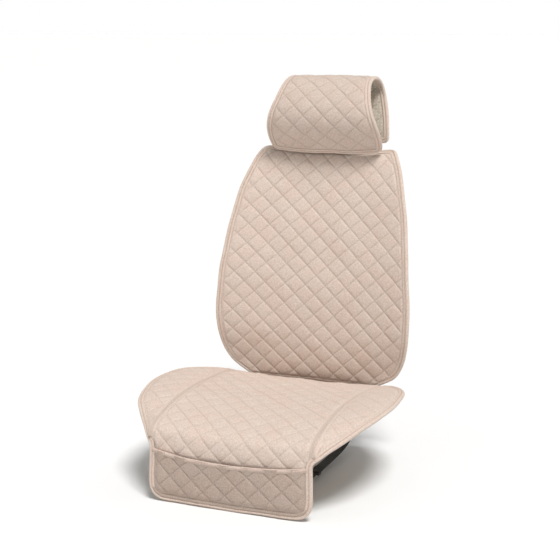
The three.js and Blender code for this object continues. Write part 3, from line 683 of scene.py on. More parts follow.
def hard_material(name, light, dark, roughness, metallic=0.0, grain=900.0, depth=0.00005):
    """Moulded or plated surface: fine grain, faint scuffs and uneven gloss."""
    light, dark = linear(light), linear(dark)
    tree = Tree(bpy.data.materials.new(name))
    place = tree.add("TexCoord", output="Object")
    fine = tree.noise(place, grain, 3.0, 0.6)
    cloudy = tree.noise(place, 45.0, 4.0, 0.55)
    scuffs = tree.noise(place, (60, 900, 300), 3.0, 0.7)
    scuffed = tuple(min(channel * 1.8 + 0.01, 1) for channel in light[:3]) + (1.0,)
    color = tree.blend(tree.spread(cloudy, 0.35, 0.65), dark, light)
    color = tree.blend(tree.spread(scuffs, 0.62, 0.75, 0.0, 0.35), color, scuffed)
    shine = tree.spread(tree.times_plus(scuffs, 0.5, cloudy), 0.5, 1.0, roughness - 0.08,
                        roughness + 0.12)
    return tree.finish(color, shine, fine, depth, 0.5, Metallic=metallic)


BLUSH = linear((255, 247, 245))
LINEN = cloth_material("linen_melange", (224, 209, 197), (214, 197, 184), (199, 179, 165))
HEAD_LINEN = cloth_material("linen_melange_headrest", (217, 202, 190), (207, 190, 177),
                            (191, 172, 158))
# a darker copy of the linen, as painted shade on the pocket, its foot tape, the tuck strips and the
# rod sleeve
SHADED_LINEN = cloth_material("linen_melange_painted_shade", (195, 179, 166), (184, 166, 153),
                              (168, 149, 136))
TAPE = cloth_material("linen_binding", (227, 211, 198), (217, 199, 185), (201, 181, 167), 0.0007)
MOUTH_TAPE = cloth_material("linen_mouth_tape", (221, 203, 191), (211, 191, 178),
                            (196, 175, 162), 0.0007)
LINING = lining_material("grip_lining", (203, 192, 176), (216, 208, 195))
THREAD_LIGHT = cloth_material("sewing_thread", (222, 206, 192), (212, 194, 178),
                              (200, 180, 163), 0.0005)
WEBBING = webbing_material("black_webbing", (58, 57, 56), (24, 24, 24))
BLACK_THREAD = hard_material("black_thread", (70, 69, 68), (48, 47, 46), 0.75)
PLASTIC = hard_material("black_plastic", (40, 40, 42), (27, 27, 29), 0.42)
STEEL = hard_material("plated_wire", (190, 192, 194), (160, 162, 165), 0.28, 1.0, 400.0, 0.00003)
ROD_FOAM = hard_material("rod_foam", (226, 221, 210), (208, 202, 190), 0.8, 0.0, 350.0, 0.0004)


# ------------------------------------------------------------------ the sheets
cushion = Sheet(CUSHION_MIDDLE, CUSHION_EDGE, 2.2, 0.9, 0.0, 11)
back = Sheet(BACK_MIDDLE, BACK_EDGE, 2.6, 1.0, 0.0, 23)
head = Sheet(HEAD_MIDDLE, HEAD_EDGE, 2.0, 0.9, 1.6, 37)
wing = Wing(cushion, WING_OUTLINE)
FLAP_SIDE_TOP = wing.start - 3


def under_pocket(s):
    """1 where the flap lies under its pocket, and 0 away from it."""
    return 1 - smooth((s - POCKET_MOUTH + POCKET_SAG + 6) / 14)


def cushion_edge(x, s):
    """0 at the cushion panel's sewn edges, rising to 1 where it swells freely."""
    reach = SEAM_REACH + (BINDING_REACH - SEAM_REACH) * (1 - smooth((s - FLAP_SIDE_TOP + 15) / 20))
    side = edge_distance(cushion, x, s, start=FLAP_CORNER)
    return smooth((side - reach) / PUFF_RAMP)


def bound_edge(sheet):
    """The same for a cover that is bound all round."""
    return lambda x, s: smooth(
        (edge_distance(sheet, x, s, CORNER, CORNER) - BINDING_REACH) / PUFF_RAMP)


def quilted(name, body, material, faces, linings, stitches, on_face, **sheet_facts):
    """A face with its foam, a lining and their thread, from (upper, lower, cloth) grids."""
    face = slab(f"{name}_panel", *faces[:2], material, faces[2])
    lining = slab(f"{name}_lining", *linings[:2], LINING, linings[2])
    sewing = quilting(f"{name}_quilting", *stitches, on_face)
    settle(face, body, "linen_face", f"{name}_foam", f"{name}_face")
    settle(lining, body, "backing", f"{name}_backing")
    settle(sewing, body, "binding_tape")


def panel(name, held, material, sheet, quilt, edge, corners, crease, pressed=lambda s: 0):
    """The middle panel of one cover.

    It swells where edge is 1, less on its face by the share that is pressed flat. crease is
    how deep its quilting lines are drawn in the bump and how dark their painted shade is.
    """
    def face_height(x, s):
        return STITCHED + edge(x, s) * (1 - pressed(s)) * quilt.relief(x, s)

    def lining_height(x, s):
        return -STITCHED - BACK_PUFF * edge(x, s) * np.clip(quilt.relief(x, s) / PUFF, 0, 1.2)

    def grid(step, upper, lower):
        s = np.linspace(0.5, sheet.length - 0.5, round(sheet.length / step) + 1)[:, None]
        outer = rounded_half(sheet, s, 0.5, *corners)
        columns = round(2 * float(outer.max()) / step)
        x, s = spread_out(outer * np.linspace(-1, 1, columns + 1), s)
        return (sheet.at(x, s, upper(x, s)), sheet.at(x, s, lower(x, s)),
                quilt.cloth(x, s, crease * edge(x, s)))

    half = sheet.half_width(np.linspace(0, sheet.length, 200))
    widest = float(half.max())
    quilted(name, f"{name}_cover", material,
            grid(FACE_STEP, face_height, lambda x, s: -FACE_DEPTH),
            grid(LINING_STEP, lambda x, s: -LINING_DEPTH, lining_height),
            quilt.stitches(lambda x, s: (np.abs(x) < sheet.half_width(s)) & (edge(x, s) > 0.02),
                           widest, 2, sheet.length - 2),
            lambda x, s, lift: sheet.at(x, s, face_height(x, s) + lift),
            flat=(2 * widest * MM, sheet.length * MM), held=held,
            area=2 * float(half.mean()) * sheet.length * MM * MM)


panel("cushion", "draped", LINEN, cushion, Quilt((0.15, 0.55), PUFF, 3), cushion_edge,
      (FLAP_CORNER, 0.0), 0.6, lambda s: 0.6 * under_pocket(s))
panel("backrest", "hung", LINEN, back, Quilt((0.35, 0.6), PUFF, 7), bound_edge(back),
      (CORNER, CORNER), 1.0)
panel("headrest", "draped", HEAD_LINEN, head, Quilt((0.5, 0.1), PUFF, 9), bound_edge(head),
      (CORNER, CORNER), 1.0)


# ------------------------------------------------------------------ wings
wing_quilt = Quilt((0.32, 0.1), 0.75 * PUFF, 5)


def wing_edge(a, b):
    width = wing.width(b)
    outer = smooth(((1 - a) * width - BINDING_REACH) / PUFF_RAMP)
    seam = smooth((a * width - SEAM_REACH) / PUFF_RAMP)
    return outer * seam


def wing_relief(a, b):
    spot = wing.point(a, b)
    return wing_edge(a, b) * wing_quilt.relief(spot[..., 0], spot[..., 1])


def wing_piece(side, name):
    def place(a, b, height):
        return wing.at(a, b, height) * [side, 1, 1]

    def on_face(x, y, lift):
        a, b = wing.place_of(x, y)
        return place(a, b, STITCHED + wing_relief(a, b) + lift)

    def inside(x, y):
        a, b = wing.place_of(x, y)
        return (a > 0.02) & (a < 0.98) & (b > 0.02) & (b < 0.98) & (wing_edge(a, b) > 0.02)

    b = np.linspace(0.006, 0.994, WING_ROWS)[:, None]
    a, b = spread_out(np.linspace(0, 1, WING_COLUMNS) * (1 - 0.6 / wing.width(b)), b)
    spot = wing.point(a, b)
    cloth = wing_quilt.cloth(spot[..., 0], spot[..., 1], 0.5 * wing_edge(a, b))
    relief = wing_relief(a, b)
    under = BACK_PUFF * np.clip(relief / PUFF, 0, wing_edge(a, b))
    starts, ends = wing_quilt.stitches(inside, *WING_REACH)
    keep = starts[:, 0] > 190
    rows = np.linspace(0, 1, 60)
    run = float(distances(curve(WING_OUTLINE, rows))[-1]) * MM
    widths = wing.width(rows) * MM
    seam_run = (wing.end - wing.start) * MM
    quilted(f"wing_{name}", "cushion_cover", LINEN,
            (place(a, b, STITCHED + relief), place(a, b, -FACE_DEPTH), cloth),
            (place(a, b, -LINING_DEPTH), place(a, b, -STITCHED - under), cloth),
            (starts[keep], ends[keep]), on_face,
            flat=(float(widths.max()), run), held="draped",
            area=float(widths.mean()) * (run + seam_run) / 2)


# ------------------------------------------------------------------ bindings
BINDING = [
    (13.0, 3.0), (12.9, 3.9), (12.3, 4.35), (10.8, 4.4), (9.0, 4.4), (7.4, 4.4), (6.7, 4.0),
    (6.1, 3.4), (5.5, 4.0), (4.8, 4.8), (3.6, 5.2), (2.0, 5.2), (0.6, 4.7), (-0.7, 3.5),
    (-1.5, 1.8), (-1.7, 0.0), (-1.5, -1.7), (-0.7, -3.2), (0.6, -4.1), (2.2, -4.5), (4.5, -4.5),
    (5.5, -4.1), (6.1, -3.5), (6.7, -4.1), (9.0, -4.4), (12.2, -4.2), (12.9, -3.7),
    (13.0, -3.0), (6.0, -2.9), (0.9, -2.9), (0.4, -2.2), (0.4, 2.2), (0.9, 2.9), (6.0, 2.9),
]
STITCH_ROW = 6.1


def binding_cloth(section, run):
    """(across, along, crease) of a binding: its cloth lies round the fold."""
    inward, height = np.transpose(section)
    across = np.where(height > 0, 20 - inward, -20 + inward)
    # crease is painted shade in the stitch groove and along the step of the inner lip, and also draws
    # the groove in the bump
    crease = np.maximum(np.exp(-(((inward - STITCH_ROW) / 0.9) ** 2)), 0.9 * (inward > 12.85))
    return np.stack(spread_out(across, run[:, None], crease), -1)


def binding(name, place, run, body=None, nodes=(), material=None, closed=False, lift=None,
            section=BINDING, rows=((STITCH_ROW, 3.75), (STITCH_ROW, -3.8))):
    """A tape folded round an edge. place(inward, height, k) gives points at step k."""
    inward, height = np.transpose(section)
    inward, height, k = np.broadcast_arrays(inward, height, np.arange(len(run))[:, None])
    if lift is not None:
        height = height + np.where(height > 0, lift[:, None], 0)
    pucker = 0.16 * np.sin(run * 2 * math.pi / 8.7) + 0.12 * np.sin(run / 5.1 + 1)
    height = height + np.sign(height) * pucker[:, None] * (np.abs(height) > 3.2)
    tape = swept(name, place(inward, height, k), material or TAPE, binding_cloth(section, run),
                 70, closed)
    sewing = topstitching(f"{name}_stitching", place, run, rows, EDGE_THREAD, lift)
    if body:
        settle(tape, body, "binding_tape", *nodes)
        settle(sewing, body, "binding_tape")
    return tape, sewing


def path_along(spots):
    """Distances along a path of (x, s) spots, and the directions that point into the sheet."""
    tangent = unit(np.gradient(spots, axis=0))
    return distances(spots), np.stack([-tangent[:, 1], tangent[:, 0]], 1)


def resampled(values, run, places):
    return np.stack([np.interp(places, run, column) for column in values.T], 1)


def even_path(spots, step):
    """The same path with evenly spaced spots."""
    run = distances(spots)
    return resampled(spots, run, np.linspace(0, run[-1], max(round(run[-1] / step), 4) + 1))


def round_outline(sheet, radius):
    """Anticlockwise outline of a sheet with rounded corners, as (x, s) spots."""
    rise = radius * (1 - np.cos(np.linspace(0, math.pi / 2, 12)))
    s = np.concatenate([rise, np.linspace(radius, sheet.length - radius, 120)[1:-1],
                        sheet.length - rise[::-1]])
    half = rounded_half(sheet, s, 0.0, radius, radius)
    right = np.stack([half, s], 1)
    return np.concatenate([right, right[::-1] * [-1, 1], right[:1]])


def sheet_loop(name, sheet, body, nodes):
    """The binding all round a cover with rounded corners."""
    spots = even_path(round_outline(sheet, CORNER), TAPE_STEP)[:-1]
    looped = np.concatenate([spots[-1:], spots, spots[:1]])
    run, inward_way = path_along(looped)
    run, inward_way = run[1:-1] - run[1], inward_way[1:-1]
    wobble = 0.45 * np.sin(run / 17) + 0.35 * np.sin(run / 29 + 2)

    def place(inward, height, k):
        spot = spots[k] + inward_way[k] * (inward + wobble[k])[..., None]
        return sheet.at(spot[..., 0], spot[..., 1], height)

    binding(name, place, run, body, nodes, closed=True)


sheet_loop("backrest_binding", back, "backrest_cover",
           ["backrest_binding_left", "backrest_binding_right", "backrest_binding_top"])
sheet_loop("headrest_binding", head, "headrest_cover",
           ["headrest_binding_left", "headrest_binding_right", "headrest_hem_front",
            "headrest_hem_rear"])


def softened(values, reach):
    """Values at the steps of a loop, averaged over their neighbours."""
    count = len(values)
    offsets = np.arange(-3 * reach, 3 * reach + 1)
    weights = np.exp(-((offsets / reach) ** 2) / 2)
    weights /= weights.sum()
    return sum(weight * values[(np.arange(count) + offset) % count]
               for offset, weight in zip(offsets, weights))


def frames(surface, spots, way, step, lift=0):
    """Centres, inward directions, normals and lifts at (across, along) spots, as ten columns."""
    across, along = spots.T
    centre = surface.at(across, along, 0)
    inner = surface.at(across + way[:, 0] * step, along + way[:, 1] * step, 0)
    above = surface.at(across, along, 1)
    return np.column_stack([centre, unit(inner - centre), unit(above - centre),
                            lift + 0 * across])


def flap_path(step, turns, *more):
    """Evenly spaced spots on the flap's outline, from its right side down and round to its left.

    turns are the angles at which the rounded corner is taken, and more are places above it.
    """
    s = np.concatenate([FLAP_CORNER * (1 - np.cos(turns)), *more])
    half = rounded_half(cushion, s, 0.0, FLAP_CORNER)
    right, left = np.stack([half, s], 1)[::-1], np.stack([-half, s], 1)
    return even_path(np.concatenate([right, left]), step)


def cushion_edge_frames():
    """Frames round the whole cushion cover: rear edge, right wing, flap and left wing."""
    x = np.linspace(-REAR_EDGE_X, REAR_EDGE_X, 115)
    rear = frames(cushion, np.stack([x, cushion.length + 0 * x], 1), np.array([[0, -1]]), 2.0)
    b = np.linspace(0.975, 0.035, 170)
    right_wing = frames(wing, np.stack([1 + 0 * b, b], 1), np.array([[-1, 0]]), 0.02)
    left_wing = right_wing[::-1] * [-1, 1, 1, -1, 1, 1, -1, 1, 1, 1]
    spots = flap_path(TAPE_STEP, np.linspace(0, math.pi / 2, 16),
                      np.linspace(FLAP_CORNER, wing.start - 14, 40)[1:])
    # The flap's tape stands off over the pocket that is sewn in under it.
    lift = FLAP_TAPE_LIFT * (1 - smooth((spots[:, 1] - POCKET_MOUTH + 2) / 16))
    flap = frames(cushion, spots, -path_along(spots)[1], 2.0, lift)
    return np.concatenate([rear, right_wing, flap, left_wing])


def cushion_binding():
    loop = cushion_edge_frames()
    loop = np.concatenate([loop, loop[:1]])
    run = distances(loop[:, :3])
    even_run = np.linspace(0, run[-1], round(run[-1] / LOOP_STEP) + 1)[:-1]
    centre, inward, normal, lift = np.split(resampled(loop, run, even_run), [3, 6, 9], 1)
    centre = softened(centre, 2)
    lift = softened(lift, 3)[:, 0]
    tangent = unit(np.roll(centre, -1, axis=0) - np.roll(centre, 1, axis=0))
    normal = softened(normal, 4)
    normal = unit(normal - tangent * (normal * tangent).sum(1, keepdims=True))
    inward = softened(inward, 3)
    side = unit(np.cross(tangent, normal))
    side = side * np.sign((side * inward).sum(1, keepdims=True))
    wobble = 0.4 * np.sin(even_run / 19) + 0.3 * np.sin(even_run / 31 + 1)

    def place(distance, height, k):
        out = side[k] * (distance + wobble[k])[..., None]
        return centre[k] + out + normal[k] * np.asarray(height, float)[..., None]

    nodes = ("flap_binding", "wing_left_binding", "wing_right_binding")
    binding("cushion_edge_tape", place, even_run, "cushion_cover", nodes, closed=True, lift=lift)


cushion_binding()


def foot_tape():
    """The second tape, along the pocket's lower edge, above the flap's own."""
    spots = flap_path(LOOP_STEP, [0, *np.linspace(0.75, math.pi / 2, 10)])
    run, way = path_along(spots)
    full = 0.25 + 0.75 * smooth(np.minimum(run, run[-1] - run) / 35)  # thinner at its ends
    section = [(14.0, 5.4), (13.9, 6.6), (13.0, 7.3), (11.4, 6.9), (10.0, 7.5), (8.4, 7.6),
               (7.2, 7.0), (6.7, 6.0), (7.0, 5.3), (10.5, 5.2)]

    def place(inward, height, k):
        spot = spots[k] - way[k] * inward[..., None]
        level = 5.2 + (height - 5.2) * full[k]
        return cushion.at(spot[..., 0], spot[..., 1], level)

    binding("pocket_foot_tape", place, run, "cushion_cover", material=SHADED_LINEN,
            section=section, rows=((11.4, 7.05),))


foot_tape()


def both_sides(half, middle):
    """A symmetrical section: points up to its middle, the middle, and the points mirrored."""
    return [*half, middle, *((-across, height) for across, height in half[::-1])]


SEAM_SECTION = both_sides([
    (-3.0, 1.6), (-7.6, 2.4), (-7.3, 3.2), (-6.4, 3.8), (-5.2, 4.0), (-4.2, 3.8), (-3.5, 3.2),
    (-2.8, 3.8), (-1.4, 4.1), (-0.6, 3.8),
], (0.0, 3.1))
SEAM_UNDER = both_sides([
    (9.0, -3.0), (9.2, -3.7), (8.6, -4.1), (6.8, -4.0), (5.8, -3.7), (4.8, -4.1),
], (0.0, -4.3))


def seam(side, piece, section, rows, nodes=()):
    """A strip along the seam between the middle panel and a wing, with its topstitching."""
    upper = rows[0][1] > 0
    s = np.arange(wing.start + 2, wing.end - 4, 3.0)
    b = np.clip((s - wing.start) / (wing.end - wing.start), 0.003, 0.997)
    width = wing.width(b)
    half = cushion.half_width(s)

    def place(across, height, k):
        middle = half[k] + WING_GAP / 2
        above = cushion.at(middle, s[k], height) - cushion.at(middle, s[k], 0)
        inner = cushion.at(middle + np.minimum(across, WING_GAP / 2), s[k], 0)
        reach = np.clip(across - WING_GAP / 2, 0, None)
        outer = wing.at(np.minimum(reach / width[k], 0.92), b[k], 0)
        base = np.where((across > WING_GAP / 2)[..., None], outer, inner)
        return (base + above) * [side, 1, 1]

    across, height = np.transpose(section)
    across, height, k = np.broadcast_arrays(across, height, np.arange(len(s))[:, None])
    # the grooves are painted shade along the stitch rows and the seam's middle, and also draw them in
    # the bump
    grooves = [np.exp(-(((across - row) / 0.8) ** 2)) for row, _ in rows]
    if upper:
        grooves.append(np.exp(-((across / 0.7) ** 2)))
    cloth = np.stack(spread_out(across, s[:, None], np.max(grooves, axis=0)), -1)
    strip = swept(piece, place(across, height, k), LINEN if upper else TAPE, cloth, 75)
    sewing = topstitching(f"{piece}_stitching", place, s - s[0], rows, SEAM_THREAD)
    settle(strip, "cushion_cover", "binding_tape", *nodes)
    settle(sewing, "cushion_cover", "binding_tape")


for side, name in SIDES:
    wing_piece(side, name)
    seam(side, f"wing_seam_{name}", SEAM_SECTION, ((-3.5, 3.55), (3.5, 3.55)))
    seam(side, f"seam_underlay_{name}", SEAM_UNDER, ((-5.8, -3.9), (5.8, -3.9)),
         [f"seam_tape_{name}"])


# ------------------------------------------------------------------ pocket
pocket_quilt = Quilt((0.4, 0.8), 2.8, 13)
MOUTH_SECTION = [
    (8.6, 1.5), (8.5, 2.9), (7.7, 3.5), (6.6, 3.3), (5.6, 3.6), (3.6, 3.9), (1.6, 3.7),
    (-0.2, 3.0), (-1.3, 1.8), (-1.5, 0.6), (-1.0, -0.5), (0.4, -1.1), (3.0, -1.2),
    (8.0, -1.0), (8.2, -0.3), (1.2, -0.3), (0.6, 0.6), (1.2, 1.2),
]


def pocket_mouth(share):
    return POCKET_MOUTH - POCKET_SAG * (1 - share**2)


def pocket_place(x, depth, height):
    """depth runs from the pocket's lower seam, 0, to its mouth, 1. x is across the flap."""
    share = np.clip(x / (cushion.half_width(POCKET_MOUTH) - POCKET_INSET), -1, 1)
    s = POCKET_FLOOR + (pocket_mouth(share) - POCKET_FLOOR) * depth
    inner = edge_distance(cushion, x, s, start=FLAP_CORNER) - POCKET_INSET
    near = smooth(inner / 20)
    belly = POCKET_BELLY * (1 - share**2) * np.clip(depth, 0, 1.1) ** 1.3
    rise = POCKET_EDGE_RISE + (POCKET_RISE - POCKET_EDGE_RISE) * near + belly * near
    ripple = 0.7 * waves(x, s, 90, 61) * near
    return cushion.at(x, s, rise + ripple + height), s, near


def pocket_half(side, name):
    """Half of the pocket, from its middle to its sewn side, with its mouth's tape."""
    full = cushion.half_width(POCKET_MOUTH) - POCKET_INSET
    depth, share = spread_out(np.linspace(0, 1, POCKET_ROWS)[:, None],
                              np.linspace(0, 1, POCKET_COLUMNS))
    s = POCKET_FLOOR + (pocket_mouth(share) - POCKET_FLOOR) * depth
    x = side * np.minimum(rounded_half(cushion, s, POCKET_INSET, FLAP_CORNER), full) * share
    relief = pocket_quilt.relief(x, s)
    lower, s, near = pocket_place(x, depth, 0)
    upper = pocket_place(x, depth, POCKET_CLOTH + near * relief)[0]
    cloth = pocket_quilt.cloth(x, s, 1.3 * near)
    face = slab(f"pocket_panel_{name}", upper, lower, SHADED_LINEN, cloth, sharp=60)

    def mouth_at(x):
        return pocket_mouth(np.clip(x / full, -1, 1))

    def inside(x, s):
        roomy = edge_distance(cushion, x, s, start=FLAP_CORNER) > POCKET_INSET + 5
        return roomy & (side * x > 0) & (s < mouth_at(x) - 7) & (s > POCKET_FLOOR)

    def on_pocket(x, s, lift):
        depth = (s - POCKET_FLOOR) / (mouth_at(x) - POCKET_FLOOR)
        near = pocket_place(x, depth, 0)[2]
        height = POCKET_CLOTH + near * pocket_quilt.relief(x, s) + lift
        return pocket_place(x, depth, height)[0]

    def mouth_place(inward, height, k):
        return pocket_place(x_run[k], 1 - inward / (mouth_at(x_run[k]) - POCKET_FLOOR), height)[0]

    stitches = pocket_quilt.stitches(inside, full, POCKET_FLOOR, POCKET_MOUTH)
    sewing = quilting(f"pocket_quilting_{name}", *stitches, on_pocket)
    x_run = side * np.linspace(0, full, 60)
    tape, tape_sewing = binding(f"pocket_mouth_tape_{name}", mouth_place, np.abs(x_run),
                                material=MOUTH_TAPE, section=MOUTH_SECTION, rows=((6.6, 3.75),))
    for obj, slot in ((face, "linen_shade"), (sewing, "binding_tape"), (tape, "binding_tape"),
                      (tape_sewing, "binding_tape")):
        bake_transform(obj)
    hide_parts("pocket_face", "pocket_lining")
    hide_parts("pocket_mouth_binding")


for side, name in SIDES:
    pocket_half(side, name)


# ------------------------------------------------------------------ tuck and rod
def ribbon_line(points, step=2.5):
    """Evenly spaced spots on a smooth line through points in a plane."""
    spots = curve(points, np.linspace(0, 1, 30 * len(points)))
    return even_path(spots, step)


def arc(centre, radius, start, end, count=24):
    turns = np.radians(np.linspace(start, end, count))
    return np.stack([centre[0] + radius * np.cos(turns), centre[1] + radius * np.sin(turns)], 1)


def ribbon(name, line, middle, width, thickness, material, axis="x", ripple=0.0, rib=0.0,
           columns=21, seed=1, rests=None):
    """A strap or strip of cloth: a line in a plane, as wide as width along the other axis.

    rests is a surface (a depth for each x and z) and how closely each step lies on it.
    """
    run, side = path_along(line)
    share = np.linspace(-1, 1, columns)[None, :]
    wide, along = spread_out(np.reshape(middle, (-1, 1)) + share * width / 2, run[:, None])
    sway = ripple * waves(wide, along, width / 3, seed) * np.sin(math.pi * along / run[-1])
    edge = 1 - 0.45 * np.abs(share) ** 14
    half = (thickness / 2 + rib * np.cos(share * width * math.pi / RIB_SPACING)) * edge
    grids = []
    for sign in (1, -1):
        plane = line[:, None, :] + side[:, None, :] * (sway + sign * half)[..., None]
        if rests is not None:
            surface, closeness = rests
            level = surface(plane[..., 0], wide) + 0.9 - sign * half
            plane[..., 1] += (level - plane[..., 1]) * closeness[:, None]
        parts = [plane[..., 0], plane[..., 1]]
        parts.insert(0 if axis == "x" else 2, wide)
        grids.append(np.stack(parts, -1))
    cloth = np.stack([wide, along, 0 * along], -1)
    return slab(name, *grids, material, cloth, sharp=60)


for name, line, body, seed in (("tuck_strip_front", TUCK_FRONT, "cushion_cover", 5),
                               ("tuck_strip_rear", TUCK_REAR, "backrest_cover", 6)):
    path = ribbon_line(line)
    strip = ribbon(f"{name}_cloth", path, 0, 2 * TUCK_HALF_WIDTH, 1.5, SHADED_LINEN,
                   ripple=1.0, columns=121, seed=seed)
    settle(strip, body, "linen_shade", name)


def round_rod(x, radius, turn):
    """Points that far from the rod's middle line."""
    return np.stack([x, ROD_CENTRE[0] + radius * np.cos(turn),
                     ROD_CENTRE[1] + radius * np.sin(turn)], -1)


def rod_piece():
    """The foam tube, with a bore and softened ends."""
    end = [(2.4, ROD_HALF_LENGTH - 1), (3.0, ROD_HALF_LENGTH), (6.6, ROD_HALF_LENGTH),
           (7.3, ROD_HALF_LENGTH - 0.6), (ROD_RADIUS, ROD_HALF_LENGTH - 1.6)]
    profile = [(radius, -x) for radius, x in end] + end[::-1]
    radius, x, turn = spread_out(*np.transpose(profile),
                                 np.linspace(0, 2 * math.pi, 48, endpoint=False)[:, None])
    obj = swept("tuck_rod_foam", round_rod(x, radius, turn), ROD_FOAM,
                np.stack([x, turn * radius, 0 * x], -1), 35, closed=True)
    settle(obj, "cushion_cover", "rod", "tuck_rod")


rod_piece()


def sleeve_piece():
    """The cloth sleeve round the rod, hemmed at its ends."""
    x, turn = spread_out(np.linspace(-SLEEVE_HALF_LENGTH, SLEEVE_HALF_LENGTH, 150)[None, :],
                         np.radians(np.linspace(0, 360, 56))[:, None])
    hem = np.exp(-(((np.abs(x) - SLEEVE_HALF_LENGTH + 5) / 3.2) ** 2))
    fold = 0.28 * np.sin(x / 5 + 2 * np.sin(turn)) + 0.2 * np.sin(x / 8.3 + 3 * turn)
    grids = []
    for offset in (0.45, -0.45):
        radius = SLEEVE_RADIUS + offset * (1 + 0.5 * hem) + fold * (1 - hem) * 0.6
        grids.append(round_rod(x, radius, turn))
    cloth = np.stack([x, SLEEVE_RADIUS * turn, 0 * x], -1)
    obj = slab("tuck_sleeve_cloth", *grids, SHADED_LINEN, cloth)
    settle(obj, "cushion_cover", "linen_shade", "tuck_sleeve")


sleeve_piece()


# ------------------------------------------------------------------ straps
def box_stitch(name, middle, half_x, half_y):
    """A flat box of stitching with a cross in it."""
    corners = np.array([(-1, -1, 0), (1, -1, 0), (1, 1, 0), (-1, 1, 0)]) * (half_x, half_y, 0)
    starts, ends = [], []
    for first, last in ((0, 1), (1, 2), (2, 3), (3, 0), (0, 2), (1, 3)):
        start, way = middle + corners[first], corners[last] - corners[first]
        length = np.linalg.norm(way)
        at = np.arange(0.4, length - 2.0, BOX_STITCH + 0.8)[:, None]
        starts.append(start + way * at / length)
        ends.append(start + way * (at + BOX_STITCH) / length)
    starts, ends = np.concatenate(starts), np.concatenate(ends)
    obj = thread(name, starts, ends, np.tile((0, 0, 1), (len(starts), 1)), BLACK_THREAD,
                 BOX_THREAD)
    settle(obj, "cushion_cover", "webbing")


BAR_LOOP = WIRE + 0.4 + WEB_THICKNESS / 2  # radius of a strap's middle, round a bar
LOOP_RADIUS = 9.7 + WEB_THICKNESS / 2  # and round the sleeve
REAR_LINE = np.concatenate([
    [(341.6, -124), (344.2, -110), (346.6, -98)],
    arc(ROD_CENTRE, LOOP_RADIUS, -110, 180, 30),
    ribbon_line([(344.6, -92), (341.5, -118), (328, -146), (298, -171), (240, -185.6),
                 (160, -189.6), (110, UNDER_STRAP_Z), (84, -191.4), (72, -192.6)]),
    arc((HOOK_BAR_Y, UNDER_STRAP_Z), BAR_LOOP, -90, -270, 12),
    [(72, -188.2), (84, -188.6), (100, -188.1)],
])
FRONT_LINE = np.concatenate([
    [(-27, -187.6), (-19, -187.2)],
    arc((RING_FRONT_Y, UNDER_STRAP_Z), 1.65 * WIRE + WEB_THICKNESS / 2, 90, -90, 12),
    ribbon_line([(-17, -191.2), (-25, -190), (-60, -190), (-120, -190), (-158, -189.4),
                 (-178, -182), (-189, -167), (-193.8, -150), (-195.2, -130), (-194.7, -112)]),
])


def ring(name, x):
    """A rectangular ring of round wire."""
    corner = 4.0
    half_y = (RING_BAR_Y - RING_FRONT_Y) / 2
    middle_y = (RING_BAR_Y + RING_FRONT_Y) / 2
    path = []
    for sign_x, sign_y, start in ((1, -1, -90), (1, 1, 0), (-1, 1, 90), (-1, -1, 180)):
        centre = (sign_x * (RING_HALF_WIDTH - corner), sign_y * (half_y - corner))
        path.append(arc(centre, corner, start, start + 90, 8))
    path = np.concatenate(path)
    inward = path_along(np.concatenate([path[-1:], path, path[:1]]))[1][1:-1, None, :]
    turns = np.linspace(0, 2 * math.pi, 16, endpoint=False)[:, None]
    flat = path[:, None, :] - inward * WIRE * np.cos(turns)
    z = np.broadcast_to(UNDER_STRAP_Z + WIRE * np.sin(turns), (*flat.shape[:2], 1))
    points = np.concatenate([flat + (x, middle_y), z], -1)
    obj = swept(f"ring_{name}_wire", points, STEEL, 0 * points, 80, True)
    settle(obj, "cushion_cover", "steel", f"ring_{name}")


for side, name in SIDES:
    x = side * UNDER_STRAP_X
    for line, node in ((REAR_LINE, "rear"), (FRONT_LINE, "front")):
        web = ribbon(f"under_strap_{node}_{name}_web", even_path(line, 1.4), x, WEB_WIDTH,
                     WEB_THICKNESS, WEBBING, rib=0.09, columns=41)
        settle(web, "cushion_cover", "webbing", f"under_strap_{node}_{name}")
    box_stitch(f"strap_box_stitch_{name}", (x, 88.5, -187.35), 9, 8.5)
    ring(name, x)


def rear_face(x, z):
    """How far back the backrest cover's lining lies at x and z."""
    s = np.linspace(back.length - 70, back.length, 71)
    rows = back.at(x[:, :1], s[None, :], -LINING_BACK)
    return np.stack([np.interp(level, row[:, 2], row[:, 1]) for level, row in zip(z, rows)])


def post_strap(side, bar_x, name):
    """From its sewn end on the lining, round a bar of the buckle and back on itself."""
    loop = arc((bar_x, POST_STRAP_Y), BAR_LOOP, -90, -90 - side * 180, 12)
    lead, tail = (np.array(spots) * [side, 1] + (bar_x, POST_STRAP_Y) for spots in (
        [(30, -0.6), (18, -2.0), (10, -2.9)], [(10, 2.6), (20, 1.2), (30, 1.3)]))
    far = [(side * x, y) for x, y in POST_STRAP_LEAD if x > abs(side * 30 + bar_x) + 8]
    line = even_path(np.concatenate([ribbon_line([*far, *lead], 2.0), loop, tail]), 1.6)
    sewn = smooth((np.abs(line[:, 0]) - POST_LIFTS_X) / 34)
    middle = POST_STRAP_Z - POST_STRAP_DROP * smooth((np.abs(line[:, 0]) - 70) / 60)
    web = ribbon(f"post_strap_{name}_web", line, middle, WEB_WIDTH, WEB_THICKNESS,
                 WEBBING, axis="z", rib=0.09, columns=41, rests=(rear_face, sewn))
    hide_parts(f"post_strap_{name}")
    if name == "right":
        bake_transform(web)
    else:
        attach(web, "backrest_cover")


post_strap(-1, SOCKET_BAR_X, "left")
post_strap(1, PLUG_BAR_X, "right")

for side, name in SIDES:
    elastic = ribbon(f"headrest_elastic_{name}_web", ribbon_line(CLOSURE_LINE, 1.6),
                     side * CLOSURE_X, CLOSURE_WIDTH, 1.5, WEBBING, rib=0.12, columns=45)
    settle(elastic, "headrest_cover", "webbing", f"headrest_elastic_{name}")

